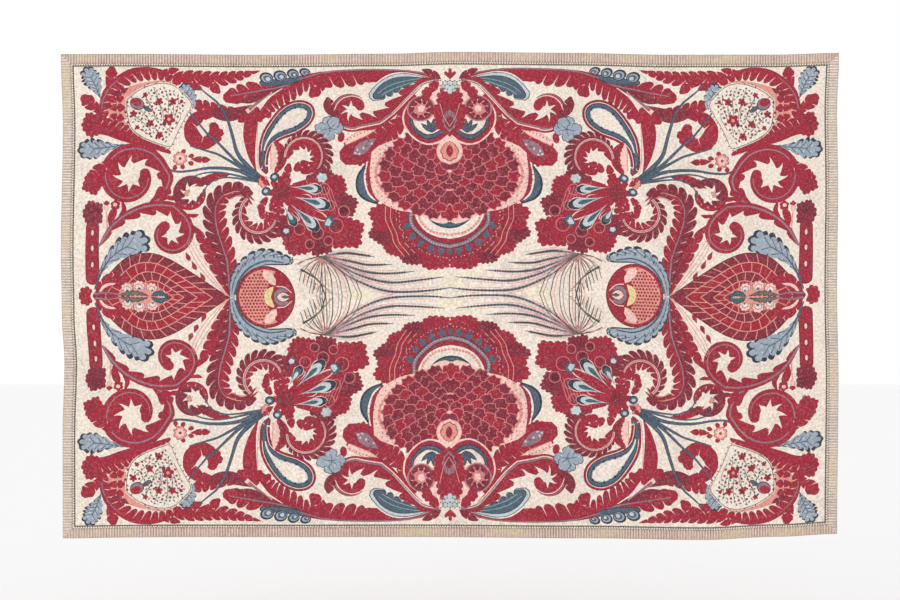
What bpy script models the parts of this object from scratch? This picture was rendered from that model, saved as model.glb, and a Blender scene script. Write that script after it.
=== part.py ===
"""Painted cotton wall hanging: one wide sheet of cotton cloth, its edges covered by four sewn tapes.

Metres, +Z up. The painted face looks along -Y. The origin is the middle of the top edge, on the
cloth's mid-plane, which is where the hanging is held up.
"""

import math

import bmesh
import bpy
from mathutils import Vector

# Driving sizes
CLOTH_WIDTH = 1.746
CLOTH_HEIGHT = 1.0935
CLOTH_THICK = 0.0015
TAPE_WIDTH = 0.0225
TAPE_THICK = 0.0010
SEAM_GAP = 0.0003
TAPE_OVERHANG = 0.0010

# Cells of the sheet between the inner edges of the tapes
COLUMNS = 40
ROWS = 26

# How far each edge strays from a straight rectangle.
# along: share of the edge, from the left or from the top. out: metres outwards.
EDGE_WANDER = {
    "top": [
        {"along": 0.000, "out": -0.0050},
        {"along": 0.090, "out": -0.0045},
        {"along": 0.260, "out": -0.0065},
        {"along": 0.420, "out": -0.0040},
        {"along": 0.505, "out": 0.0000},
        {"along": 0.660, "out": -0.0022},
        {"along": 0.780, "out": -0.0065},
        {"along": 0.920, "out": -0.0060},
        {"along": 1.000, "out": -0.0022},
    ],
    "bottom": [
        {"along": 0.000, "out": 0.0000},
        {"along": 0.090, "out": -0.0022},
        {"along": 0.500, "out": -0.0022},
        {"along": 0.670, "out": 0.0005},
        {"along": 0.830, "out": 0.0040},
        {"along": 0.920, "out": -0.0022},
        {"along": 1.000, "out": -0.0090},
    ],
    "left": [
        {"along": 0.000, "out": 0.0022},
        {"along": 0.150, "out": -0.0022},
        {"along": 0.410, "out": 0.0022},
        {"along": 0.540, "out": 0.0000},
        {"along": 0.640, "out": -0.0060},
        {"along": 0.780, "out": -0.0022},
        {"along": 1.000, "out": -0.0030},
    ],
    "right": [
        {"along": 0.000, "out": 0.0022},
        {"along": 0.120, "out": -0.0022},
        {"along": 0.280, "out": 0.0000},
        {"along": 0.500, "out": -0.0022},
        {"along": 0.680, "out": 0.0010},
        {"along": 1.000, "out": -0.0015},
    ],
}

# Soft upright ripples of the hanging cloth, all very shallow.
# across: metres from the middle. width: half width. rise: metres towards the viewer.
# lean: metres that the ripple moves to the right from top to bottom. top: share of the rise at the top edge.
RIPPLES = [
    {"across": -0.76, "width": 0.075, "rise": 0.0034, "lean": 0.030, "top": 0.25},
    {"across": -0.58, "width": 0.090, "rise": -0.0030, "lean": -0.020, "top": 0.30},
    {"across": -0.36, "width": 0.110, "rise": 0.0026, "lean": 0.040, "top": 0.20},
    {"across": -0.12, "width": 0.085, "rise": -0.0022, "lean": 0.010, "top": 0.35},
    {"across": 0.10, "width": 0.120, "rise": 0.0028, "lean": -0.035, "top": 0.20},
    {"across": 0.33, "width": 0.080, "rise": -0.0026, "lean": 0.015, "top": 0.25},
    {"across": 0.52, "width": 0.100, "rise": 0.0032, "lean": 0.020, "top": 0.30},
    {"across": 0.72, "width": 0.070, "rise": -0.0028, "lean": -0.015, "top": 0.20},
]

# The free lower corners swing a little: the left one forward, the right one back.
CORNER_REACH = 0.30
CORNER_SWING = {"left": 0.0050, "right": -0.0040}


def smooth_step(t):
    """Eases from 0 to 1 with level ends."""
    t = min(max(t, 0.0), 1.0)
    return t * t * (3.0 - 2.0 * t)


def wander(side, along):
    """How far a side strays outwards at a share of its length."""
    rows = EDGE_WANDER[side]
    for here, after in zip(rows, rows[1:]):
        if along <= after["along"]:
            t = (along - here["along"]) / (after["along"] - here["along"])
            return here["out"] + (after["out"] - here["out"]) * smooth_step(t)
    return rows[-1]["out"]


def ripple_depth(x, drop):
    """How far the cloth stands towards the viewer at x, at a share of the way down."""
    depth = 0.0
    for row in RIPPLES:
        centre = row["across"] + row["lean"] * drop
        share = row["top"] + (1.0 - row["top"]) * smooth_step(drop)
        depth += row["rise"] * share * math.exp(-(((x - centre) / row["width"]) ** 2))
    for side, sign in (("left", -1.0), ("right", 1.0)):
        inward = (CLOTH_WIDTH / 2 - sign * x) / CORNER_REACH
        upward = (1.0 - drop) * CLOTH_HEIGHT / CORNER_REACH
        depth += CORNER_SWING[side] * math.exp(-(inward**2) - upward**2)
    return depth


def cloth_point(across, down, inset, forward):
    """A point of the hanging cloth.

    across, down: shares from the left and from the top, at the outline.
    inset: metres that the outline is drawn in. forward: metres towards the viewer from the mid-plane.
    """
    x = (across - 0.5) * CLOTH_WIDTH
    x += across * wander("right", down) - (1.0 - across) * wander("left", down)
    x -= inset * (2.0 * across - 1.0)
    z = -down * CLOTH_HEIGHT
    z += (1.0 - down) * wander("top", across) - down * wander("bottom", across)
    z += inset * (2.0 * down - 1.0)
    return Vector((x, -ripple_depth(x, down) - forward, z))


def stations(edge_share, cells):
    """Shares along one direction: both outer edges, both tape lines, and even cells between."""
    inner = [edge_share + (1.0 - 2.0 * edge_share) * i / cells for i in range(cells + 1)]
    return [0.0, *inner, 1.0]


def cotton(name, colour, roughness):
    """A plain cotton finish."""
    material = bpy.data.materials.new(name)
    material.use_nodes = True
    shader = material.node_tree.nodes["Principled BSDF"]
    shader.inputs["Base Color"].default_value = (*colour, 1.0)
    shader.inputs["Roughness"].default_value = roughness
    shader.inputs["Metallic"].default_value = 0.0
    material.diffuse_color = (*colour, 1.0)
    return material


def thicken(bm, thickness):
    """Turns a sheet of faces into a closed solid by extruding it straight back from the viewer."""
    grown = bmesh.ops.extrude_face_region(bm, geom=bm.faces[:])
    moved = [item for item in grown["geom"] if isinstance(item, bmesh.types.BMVert)]
    bmesh.ops.translate(bm, vec=(0.0, thickness, 0.0), verts=moved)
    bmesh.ops.recalc_face_normals(bm, faces=bm.faces[:])


def cloth_object(name, bm, material):
    """Puts a finished bmesh into the scene as one named piece."""
    mesh = bpy.data.meshes.new(name)
    bm.to_mesh(mesh)
    bm.free()
    mesh.materials.append(material)
    mesh.shade_smooth()
    mesh.set_sharp_from_angle(angle=math.radians(40.0))
    piece = bpy.data.objects.new(name, mesh)
    bpy.context.collection.objects.link(piece)
    return piece


def painted_panel(material):
    """The sheet of cotton that carries the painting."""
    bm = bmesh.new()
    lattice = []
    for down in stations(TAPE_WIDTH / CLOTH_HEIGHT, ROWS):
        row = []
        for across in stations(TAPE_WIDTH / CLOTH_WIDTH, COLUMNS):
            row.append(bm.verts.new(cloth_point(across, down, TAPE_OVERHANG, CLOTH_THICK / 2)))
        lattice.append(row)
    for upper, lower in zip(lattice, lattice[1:]):
        for i in range(len(upper) - 1):
            bm.faces.new((upper[i], lower[i], lower[i + 1], upper[i + 1]))
    thicken(bm, CLOTH_THICK)
    return cloth_object("painted_panel", bm, material)


def edge_tape(side, material):
    """One tape along a side, mitred at both ends, lying on the painted face."""
    forward = CLOTH_THICK / 2 + SEAM_GAP + TAPE_THICK
    level = side in ("top", "bottom")
    inner_across = TAPE_WIDTH / CLOTH_WIDTH
    inner_down = TAPE_WIDTH / CLOTH_HEIGHT
    along = stations(inner_across, COLUMNS) if level else stations(inner_down, ROWS)
    mitre_shift = SEAM_GAP / math.sqrt(2.0)

    def tape_point(share, from_edge):
        """A point of the tape at a share of its length, on its outer edge (0) or its inner edge (1)."""
        if level:
            down = from_edge * inner_down if side == "top" else 1.0 - from_edge * inner_down
            return cloth_point(share, down, 0.0, forward)
        across = from_edge * inner_across if side == "left" else 1.0 - from_edge * inner_across
        return cloth_point(across, share, 0.0, forward)

    outer = [tape_point(share, 0.0) for share in along]
    inner = [tape_point(share, 1.0) for share in along[1:-1]]
    # The ends draw in a little at the mitres, which parts each tape from its neighbours.
    shift = Vector((mitre_shift, 0.0, 0.0)) if level else Vector((0.0, 0.0, -mitre_shift))
    for row in (outer, inner):
        row[0] = row[0] + shift
        row[-1] = row[-1] - shift

    bm = bmesh.new()
    outer = [bm.verts.new(place) for place in outer]
    inner = [bm.verts.new(place) for place in inner]
    bm.faces.new((outer[0], outer[1], inner[0]))
    for i in range(len(inner) - 1):
        bm.faces.new((outer[i + 1], outer[i + 2], inner[i + 1], inner[i]))
    bm.faces.new((outer[-2], outer[-1], inner[-1]))
    thicken(bm, TAPE_THICK)
    return cloth_object("edge_tape_" + side, bm, material)


def build():
    """Builds the whole hanging under one empty at the point where it is held."""
    for item in list(bpy.data.objects):
        bpy.data.objects.remove(item, do_unlink=True)
    hanging = bpy.data.objects.new("hanging", None)
    bpy.context.collection.objects.link(hanging)
    painted_cotton = cotton("painted_cotton", (0.74, 0.52, 0.46), 0.88)
    ribbed_tape = cotton("ribbed_tape", (0.72, 0.60, 0.49), 0.92)
    pieces = [painted_panel(painted_cotton)]
    pieces += [edge_tape(side, ribbed_tape) for side in ("top", "bottom", "left", "right")]
    for piece in pieces:
        piece.parent = hanging


build()
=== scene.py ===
# %% [markdown]
# # A painted cotton wall hanging
#
# The real object is one wide sheet of plain-weave cotton. Its pattern of leaves, scrolls and scaled
# flowers was drawn with a reed pen and dyed in steps: the reds with mordants, the blues with indigo
# under wax. Four lengths of ribbed tape cover the cut edges.
#
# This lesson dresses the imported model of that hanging. The cloth is a thin closed sheet whose faces
# follow the painted outlines, so each shape keeps a crisp edge without any picture file.

# %% Load the frame
import math

import bmesh
import bpy
import numpy as np
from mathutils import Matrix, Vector
from mathutils.geometry import delaunay_2d_cdt


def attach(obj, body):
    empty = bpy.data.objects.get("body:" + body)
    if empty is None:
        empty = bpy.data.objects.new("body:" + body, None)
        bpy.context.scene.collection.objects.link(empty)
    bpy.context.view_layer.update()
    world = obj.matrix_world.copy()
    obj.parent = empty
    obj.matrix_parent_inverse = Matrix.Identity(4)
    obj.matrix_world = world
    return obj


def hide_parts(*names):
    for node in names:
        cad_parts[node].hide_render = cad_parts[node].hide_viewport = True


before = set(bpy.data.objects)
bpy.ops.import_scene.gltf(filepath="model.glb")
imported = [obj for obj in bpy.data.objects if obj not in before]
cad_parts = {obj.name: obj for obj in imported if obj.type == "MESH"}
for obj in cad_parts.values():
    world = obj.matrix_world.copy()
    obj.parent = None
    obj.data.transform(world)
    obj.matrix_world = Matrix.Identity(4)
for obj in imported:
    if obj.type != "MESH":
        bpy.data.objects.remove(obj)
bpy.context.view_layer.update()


# %% [markdown]
# ## Sizes of the cloth
#
# The painter worked by eye, so the pattern is written in brush widths: one brush width is 2.25 mm of
# cloth. Numbers stay small that way, and one value turns them all into metres.

# %% Cloth sizes
CLOTH_WIDTH = 1.746
CLOTH_HEIGHT = 1.0935
CLOTH_THICK = 0.0015
TAPE_WIDTH = 0.0225
TAPE_THICK = 0.0010
SEAM_GAP = 0.0003
TAPE_OVERHANG = 0.0010
BRUSH = 0.00225

WIDE = CLOTH_WIDTH / BRUSH
HIGH = CLOTH_HEIGHT / BRUSH
AXIS_X = WIDE / 2
AXIS_Y = HIGH / 2
print("pattern size in brush widths:", round(WIDE, 1), round(HIGH, 1))


# %% [markdown]
# ## How the cloth hangs
#
# Old cloth never hangs as a true rectangle. Each edge strays by a few millimetres, and shallow
# upright ripples run down from the held edge. Both are the same short tables and formulas that the
# solid model uses, so the painted sheet lands exactly where the solid one is.

# %% Edges and ripples
# along: share of the edge, from the left or from the top. out: metres outwards.
EDGE_WANDER = {
    "top": [(0.000, -0.0050), (0.090, -0.0045), (0.260, -0.0065), (0.420, -0.0040), (0.505, 0.0000),
            (0.660, -0.0022), (0.780, -0.0065), (0.920, -0.0060), (1.000, -0.0022)],
    "bottom": [(0.000, 0.0000), (0.090, -0.0022), (0.500, -0.0022), (0.670, 0.0005), (0.830, 0.0040),
               (0.920, -0.0022), (1.000, -0.0090)],
    "left": [(0.000, 0.0022), (0.150, -0.0022), (0.410, 0.0022), (0.540, 0.0000), (0.640, -0.0060),
             (0.780, -0.0022), (1.000, -0.0030)],
    "right": [(0.000, 0.0022), (0.120, -0.0022), (0.280, 0.0000), (0.500, -0.0022), (0.680, 0.0010),
              (1.000, -0.0015)],
}

# across: metres from the middle. width: half width. rise: metres towards the viewer.
# lean: metres to the right from top to bottom. top: share of the rise at the top edge.
RIPPLES = [
    {"across": -0.76, "width": 0.075, "rise": 0.0034, "lean": 0.030, "top": 0.25},
    {"across": -0.58, "width": 0.090, "rise": -0.0030, "lean": -0.020, "top": 0.30},
    {"across": -0.36, "width": 0.110, "rise": 0.0026, "lean": 0.040, "top": 0.20},
    {"across": -0.12, "width": 0.085, "rise": -0.0022, "lean": 0.010, "top": 0.35},
    {"across": 0.10, "width": 0.120, "rise": 0.0028, "lean": -0.035, "top": 0.20},
    {"across": 0.33, "width": 0.080, "rise": -0.0026, "lean": 0.015, "top": 0.25},
    {"across": 0.52, "width": 0.100, "rise": 0.0032, "lean": 0.020, "top": 0.30},
    {"across": 0.72, "width": 0.070, "rise": -0.0028, "lean": -0.015, "top": 0.20},
]
CORNER_REACH = 0.30
CORNER_SWING = {-1.0: 0.0050, 1.0: -0.0040}


def smooth_step(t):
    """Eases from 0 to 1 with level ends."""
    t = np.clip(t, 0.0, 1.0)
    return t * t * (3.0 - 2.0 * t)


def wander(side, along):
    """How far a side strays outwards, at shares of its length."""
    rows = np.array(EDGE_WANDER[side])
    here = np.clip(np.searchsorted(rows[:, 0], along, side="right") - 1, 0, len(rows) - 2)
    start, end = rows[here], rows[here + 1]
    t = (along - start[..., 0]) / (end[..., 0] - start[..., 0])
    return start[..., 1] + (end[..., 1] - start[..., 1]) * smooth_step(t)


def ripple_depth(x, drop):
    """How far the cloth stands towards the viewer."""
    depth = np.zeros_like(x)
    for row in RIPPLES:
        centre = row["across"] + row["lean"] * drop
        share = row["top"] + (1.0 - row["top"]) * smooth_step(drop)
        depth += row["rise"] * share * np.exp(-(((x - centre) / row["width"]) ** 2))
    for sign, swing in CORNER_SWING.items():
        inward = (CLOTH_WIDTH / 2 - sign * x) / CORNER_REACH
        upward = (1.0 - drop) * CLOTH_HEIGHT / CORNER_REACH
        depth += swing * np.exp(-(inward**2) - upward**2)
    return depth


def cloth_points(across, down, inset, forward):
    """Points of the hanging cloth, from shares across and down, as rows of x, y, z in metres."""
    x = (across - 0.5) * CLOTH_WIDTH
    x = x + across * wander("right", down) - (1.0 - across) * wander("left", down)
    x = x - inset * (2.0 * across - 1.0)
    z = -down * CLOTH_HEIGHT
    z = z + (1.0 - down) * wander("top", across) - down * wander("bottom", across)
    z = z + inset * (2.0 * down - 1.0)
    return np.stack([x, -ripple_depth(x, down) - forward, z], -1)


corners = cloth_points(np.array([0.0, 1.0]), np.array([0.0, 1.0]), 0.0, 0.0)
print("top left and bottom right corners:", corners.round(4).tolist())


# %% [markdown]
# ## Camera
#
# The hanging was photographed square on, against white. A long lens keeps its edges straight.

# %% Camera
PICTURE_WIDTH = 2.025
LENS = 85.0
SENSOR = 36.0
EYE_LEVEL = -0.5580

camera_data = bpy.data.cameras.new("camera")
camera_data.lens = LENS
camera_data.sensor_width = SENSOR
camera = bpy.data.objects.new("camera", camera_data)
camera.location = (0.0, -PICTURE_WIDTH * LENS / SENSOR, EYE_LEVEL)
camera.rotation_euler = (math.radians(90.0), 0.0, 0.0)
bpy.context.scene.collection.objects.link(camera)
bpy.context.scene.camera = camera
print("camera stands", round(-camera.location.y, 2), "m away")


# %% [markdown]
# ## Light and floor
#
# The light is even. One wide soft lamp from the upper left models the ripples a little, and a
# bright sky does the rest. Rays from the camera see a sky of their own, so the ground behind the
# cloth stays white whatever the light does.

# %% Light and floor
bpy.context.scene.view_settings.view_transform = "Standard"
SKY_LIGHT = 0.96
SKY_SEEN = 1.0
SKY_WHITE = (1.0, 1.0, 1.0, 1.0)
LAMP_POWER = 10.0
LAMP_SIZE = 2.4
LAMP_PLACE = (-2.3, -2.9, 0.9)
LAMP_AIM = (0.0, 0.0, -0.55)
FLOOR_DROP = 0.25
FLOOR_SIZE = 30.0
FLOOR_WHITE = (0.98, 0.98, 0.98, 1.0)

world = bpy.data.worlds.new("studio")
bpy.context.scene.world = world
world.use_nodes = True
sky = world.node_tree
sky_light = sky.nodes["Background"]
sky_seen = sky.nodes.new("ShaderNodeBackground")
for node, strength in ((sky_light, SKY_LIGHT), (sky_seen, SKY_SEEN)):
    node.inputs["Color"].default_value = SKY_WHITE
    node.inputs["Strength"].default_value = strength
rays = sky.nodes.new("ShaderNodeLightPath")
choose = sky.nodes.new("ShaderNodeMixShader")
sky.links.new(rays.outputs["Is Camera Ray"], choose.inputs[0])
sky.links.new(sky_light.outputs[0], choose.inputs[1])
sky.links.new(sky_seen.outputs[0], choose.inputs[2])
sky.links.new(choose.outputs[0], sky.nodes["World Output"].inputs["Surface"])

lamp_data = bpy.data.lights.new("soft_lamp", "AREA")
lamp_data.energy = LAMP_POWER
lamp_data.size = LAMP_SIZE
lamp = bpy.data.objects.new("soft_lamp", lamp_data)
lamp.location = LAMP_PLACE
lamp.rotation_euler = (Vector(LAMP_AIM) - lamp.location).to_track_quat("-Z", "Y").to_euler()
bpy.context.scene.collection.objects.link(lamp)

bpy.ops.object.select_all(action="DESELECT")
bpy.ops.mesh.primitive_plane_add(size=FLOOR_SIZE, location=(0.0, 0.0, -CLOTH_HEIGHT - FLOOR_DROP))
floor = bpy.context.object
floor.name = "floor"
floor_paint = bpy.data.materials.new("pale_floor")
floor_paint.use_nodes = True
floor_shader = floor_paint.node_tree.nodes["Principled BSDF"]
floor_shader.inputs["Base Color"].default_value = FLOOR_WHITE
floor_shader.inputs["Roughness"].default_value = 0.9
floor.data.materials.append(floor_paint)
print("floor", FLOOR_DROP, "m below the hanging")


# %% [markdown]
# ## Dyes
#
# The real cloth is dyed, not embroidered: madder reds, indigo blues and a few overlaps of both on
# cream cotton. Nothing is raised, so the pattern is colour only. Each dye gets one value here, and
# every stroke below is an outline filled with one of them.

# %% Dyes and strokes
DYES = {
    "ground": (241, 227, 213),
    "crimson": (162, 32, 55),
    "maroon": (134, 38, 57),
    "wine": (104, 26, 44),
    "salmon": (226, 152, 138),
    "reserve": (244, 202, 190),
    "pale_blue": (158, 171, 184),
    "haze": (198, 206, 210),
    "slate": (76, 96, 114),
    "navy": (46, 56, 72),
    "teal": (66, 100, 106),
    "mauve": (152, 116, 128),
    "olive": (116, 112, 94),
    "umber": (74, 66, 60),
    "blush": (216, 128, 130),
    "butter": (232, 212, 150),
    "plume_wash": (238, 219, 209),
    "straw": (241, 230, 205),
}

painting = []


def lay(outline, dye):
    """Lays one flat stroke of dye over what is there already."""
    painting.append((np.asarray(outline, float), dye))


print("dyes:", len(DYES))


# %% [markdown]
# ## Lines by hand
#
# A painter places a few points and lets the pen swing between them. flow does the same with a smooth
# curve through chosen points, curl winds a spiral, and along finds places on a line, with the
# direction that points to its left.

# %% Lines
POINT_GAP = 3.0


def walked(p):
    """The distance from the start of a line to each of its points."""
    return np.concatenate([[0.0], np.cumsum(np.hypot(*np.diff(p, axis=0).T))])


def evenly(p):
    """The same line with its points evenly spaced."""
    run = walked(p)
    at = np.linspace(0.0, run[-1], max(3, int(run[-1] / POINT_GAP) + 2))
    return np.stack([np.interp(at, run, p[:, 0]), np.interp(at, run, p[:, 1])], 1)


def flow(points):
    """A smooth line through a few chosen points, evenly spaced."""
    p = np.asarray(points, float)
    if len(p) > 2:
        p = np.vstack([2 * p[0] - p[1], p, 2 * p[-1] - p[-2]])
        t = np.linspace(0.0, 1.0, 9)[:-1, None]
        runs = []
        for a, b, c, d in zip(p, p[1:], p[2:], p[3:]):
            runs.append(0.5 * (2 * b + (c - a) * t + (2 * a - 5 * b + 4 * c - d) * t**2
                               + (3 * b - a - 3 * c + d) * t**3))
        p = np.vstack([*runs, p[-2]])
    return evenly(p)


def around(centre, a, r):
    """Points round a centre, at angles in radians and their distances."""
    return np.stack([centre[0] + r * np.cos(a), centre[1] + r * np.sin(a)], 1)


def heading(angle):
    """A unit step at an angle in radians, and one at right angles to it."""
    way = np.array([math.cos(angle), math.sin(angle)])
    return way, np.array([-way[1], way[0]])


def curl(centre, radius, start, turns, tighten=0.8, ease=0.85):
    """A spiral from its outside inwards. start in degrees from the right; turns > 0 runs clockwise."""
    count = max(8, int(abs(turns) * 24))
    t = np.linspace(0.0, 1.0, count)
    a = np.radians(start + 360.0 * turns * t)
    return around(centre, a, radius * (1.0 - tighten * t**ease))


def along(spine, s):
    """Places, left-hand normals and length of a line, at shares s of its length."""
    run = walked(spine)
    at = np.clip(s, 0.0, 1.0) * run[-1]
    place = np.stack([np.interp(at, run, spine[:, 0]), np.interp(at, run, spine[:, 1])], 1)
    tangent = np.gradient(spine, axis=0)
    tx, ty = np.interp(at, run, tangent[:, 0]), np.interp(at, run, tangent[:, 1])
    size = np.maximum(np.hypot(tx, ty), 1e-9)
    return place, np.stack([ty / size, -tx / size], 1), run[-1]


print("a curl of one turn:", len(curl((0, 0), 10, 0, 1)), "points")


# %% [markdown]
# ## Leaves and fronds
#
# Nearly every form is a leaf: a spine, a width on each side and some lobes, which lean forwards. A
# real hand swells the leaf between root and tip, so the width follows a skewed sine curve.

# %% Leaves
LOBE_POINTS = np.array([0.0, 0.07, 0.24, 0.5, 0.76, 0.93])
NARROW_NOTCH, OPEN_NOTCH, RIM_NOTCH = 0.45, 0.75, 0.8
RIM_WIDTH = 0.75
BLUNT_TIP = 0.3
THIN_LEAF = 2.0


def dart(foot, end, half, dye):
    """A thin triangle from a point to a blunt end."""
    run = end - foot
    across = np.array([-run[1], run[0]]) / max(np.hypot(*run), 1e-6) * half
    lay([end + across, end - across, foot], dye)


def swelling(s, swell, root, tip):
    """How wide a leaf is along its spine: widest at swell, root and tip wide at its ends."""
    shape = np.abs(np.sin(np.pi * s ** (math.log(0.5) / math.log(swell)))) ** 0.8
    return np.where(s < swell, root + (1 - root) * shape, tip + (1 - tip) * shape)


def edge(spine, wide, lobes, side, depth, slant, swell, root, tip, inset, notch):
    """One side of a leaf, from its root to its tip. A small notch makes narrow gaps between lobes."""
    if lobes:
        s = np.append(((np.arange(lobes)[:, None] + LOBE_POINTS) / lobes).ravel(), 1.0)
        t = np.append(np.tile(LOBE_POINTS, lobes), 1.0)
        bump = 1.0 - depth * (1.0 - np.abs(np.sin(np.pi * t)) ** (RIM_NOTCH if inset else notch))
        if tip > BLUNT_TIP:
            bump[-3:] = 0.92
    else:
        s = np.linspace(0.0, 1.0, max(5, len(spine)))
        bump = 1.0
    off = wide * swelling(s, swell, root, tip) * bump
    off = np.maximum(off - inset, 0.12 * off)
    length = along(spine, np.array([0.0]))[2]
    shift = 0.6 * inset / length
    hook = slant * off / length * np.minimum(1.0, 3.0 * (1.0 - s))
    place, normal, _ = along(spine, shift + (1 - 2 * shift) * s + hook)
    return place + normal * (side * off)[:, None]


def leaf_outline(spine, wide, lobes=(0, 0), depth=0.55, slant=0.5, swell=0.4, root=0.0, tip=0.0, inset=0.0,
                 notch=NARROW_NOTCH):
    """Both sides of a leaf as one ring."""
    form = (depth, slant, swell, root, tip, inset, notch)
    left = edge(spine, wide[0], lobes[0], 1.0, *form)
    right = edge(spine, wide[1], lobes[1], -1.0, *form)
    if tip <= BLUNT_TIP:
        return np.vstack([left, right[::-1]])
    # a rounded end between the last points of both sides
    middle, half = (left[-1] + right[-1]) / 2, (left[-1] - right[-1]) / 2
    ahead = np.array([-half[1], half[0]]) * 0.85
    cap = [middle + half * 0.7 + ahead * 0.7, middle + ahead, middle - half * 0.7 + ahead * 0.7]
    return np.vstack([left, cap, right[::-1]])


def leaf(points, wide, lobes=(0, 0), dye="crimson", rim=None, **form):
    """A leaf or frond on a spine through a few points; red ones get slits and darker lobe tips."""
    spine = points if isinstance(points, np.ndarray) else flow(points)
    form = {"depth": 0.3 if max(lobes) < 5 else 0.56, **form}
    lay(leaf_outline(spine, wide, lobes, **form), rim or dye)
    if rim and max(wide) > THIN_LEAF:
        lay(leaf_outline(spine, wide, lobes, inset=RIM_WIDTH, **form), dye)
    if any(lobes) and dye in ("crimson", "maroon"):
        slits(spine, wide, lobes, "maroon" if dye == "crimson" else "wine", **form)


def slits(spine, wide, lobes, shade, depth=0.55, slant=0.5, swell=0.4, root=0.0, tip=0.0,
          notch=NARROW_NOTCH):
    """Thin slits that run on from narrow notches, and a drop of darker dye up each lobe."""
    length = along(spine, np.array([0.0]))[2]
    for side, width, count in ((1.0, wide[0], lobes[0]), (-1.0, wide[1], lobes[1])):
        if not count or width < 3.0:
            continue
        for dye, share, outer, inner, half in (("reserve", 0.0, 1.0 - depth * 0.8, (1.0 - depth) * 0.4, 0.5),
                                               (shade, 0.52, 0.9, 0.3, 1.0)):
            if notch > NARROW_NOTCH and share == 0.0:
                continue
            s = (np.arange(1 if share == 0.0 else 0, count) + share) / count
            full = width * swelling(s, swell, root, tip)
            for here, reach in zip(s, full):
                if reach < 2.6:
                    continue
                ends = []
                for part in (outer, inner):
                    hook = slant * reach * part / length * min(1.0, 3.0 * (1.0 - here))
                    place, normal, _ = along(spine, np.array([here + hook]))
                    ends.append(place[0] + normal[0] * side * reach * part)
                dart(ends[1], ends[0], half, dye)


print("a leaf with four lobes a side:", len(leaf_outline(flow([(0, 0), (20, 0)]), (5, 5), (4, 4))), "points")


# %% [markdown]
# ## Small marks
#
# Stems, dabs, dots and small flowers are the marks of a fine brush.

# %% Small marks
PETALS = 5


def line(points, wide, end, dye):
    """A brush line, from one width to another."""
    spine = points if isinstance(points, np.ndarray) else flow(points)
    place, normal, _ = along(spine, np.linspace(0.0, 1.0, len(spine)))
    half = np.linspace(wide, end, len(spine))[:, None] / 2
    lay(np.vstack([place + normal * half, (place - normal * half)[::-1]]), dye)


def stem(points, wide, end, dye="slate"):
    """A stem with darker edges."""
    line(points, wide, end, "navy" if dye == "slate" else "wine")
    line(points, wide * 0.66, end * 0.66, dye)


def oval(centre, across, down, turn, dye, sides=10):
    """An oval dab, turned by some degrees."""
    a = np.linspace(0, 2 * np.pi, sides, endpoint=False)
    c, s = math.cos(math.radians(turn)), math.sin(math.radians(turn))
    x, y = across * np.cos(a), down * np.sin(a)
    lay(np.stack([centre[0] + x * c - y * s, centre[1] + x * s + y * c], 1), dye)


def blossom(centre, radius, heart, turn):
    """A small open flower."""
    a = np.linspace(0, 2 * np.pi, PETALS * 4, endpoint=False)
    r = radius * (0.62 + 0.38 * np.abs(np.cos(PETALS * a / 2)))
    lay(around(centre, a + math.radians(turn), r), "crimson")
    oval(centre, radius * 0.28, radius * 0.28, 0, heart, 6)


def dots(points, count, size, dye):
    """Small dabs along a line."""
    spine = points if isinstance(points, np.ndarray) else flow(points)
    for x, y in along(spine, np.linspace(0.0, 1.0, count))[0]:
        lay([(x - size, y), (x, y - size), (x + size, y), (x, y + size)], dye)


print("a plain dab fits in ten points; strokes laid so far:", len(painting))


# %% [markdown]
# ## Larger forms
#
# Forms that come back in several places get a helper each: the blue leaf, the scroll that curls up on
# itself, the ruffled petal, the toothed tuft, the seed wedge and the band between two lines.

# %% Larger forms
def blue_leaf(points, wide, lobes, heart=True, **form):
    """A pale blue leaf: dark along its lobed side, with thin dark veins and light dabs between them."""
    spine = flow(points)
    form = {"depth": 0.42, "slant": 0.35, **form}
    lay(leaf_outline(spine, wide, lobes, **form), "navy")
    shares = (0.74, 0.9) if lobes[0] >= lobes[1] else (0.9, 0.74)
    inner = along(spine, np.linspace(0.0, 0.96, len(spine)))[0]
    lay(leaf_outline(inner, (wide[0] * shares[0], wide[1] * shares[1]), lobes, **form), "pale_blue")
    end, normal, _ = along(spine, np.array([1.0]))
    ahead = np.array([-normal[0][1], normal[0][0]])
    blunt = wide[0] * form.get("tip", 0.0)
    for share, dye in ((1.0, "navy"), (0.74, "pale_blue")):
        for offset in (-0.62, 0.0, 0.62):
            spot = end[0] + normal[0] * offset * blunt + ahead * blunt * (0.5 - 0.45 * abs(offset))
            oval(spot - ahead * (1.0 - share) * blunt * 0.6, blunt * 0.42 * share, blunt * 0.36 * share, 0,
                 dye, 9)
    core = along(spine, np.linspace(0.0, 0.82, len(spine)))[0]
    if heart:
        line(core, 0.6, 1.0, "slate")
    for side, width, count in ((1.0, wide[0], lobes[0]), (-1.0, wide[1], lobes[1])):
        for k in range(count):
            share = (k + 0.6) / max(count, 1)
            near = share * 0.86
            root, tip = (along(spine, np.array([s]))[0:2] for s in (near, min(0.97, near + 0.12)))
            reach = tip[1][0] * side * width * 0.55 * float(swelling(share, 0.7, 0.1, 0.8))
            line([tuple(root[0][0]), tuple(tip[0][0] + reach)], 0.7, 0.9, "slate")
            lay([tip[0][0] + reach * 0.2, tip[0][0] + reach * 0.75 + (0.6, 0.4),
                 tip[0][0] + reach * 0.6 - (1.0, 0.5)],
                "haze")


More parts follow.
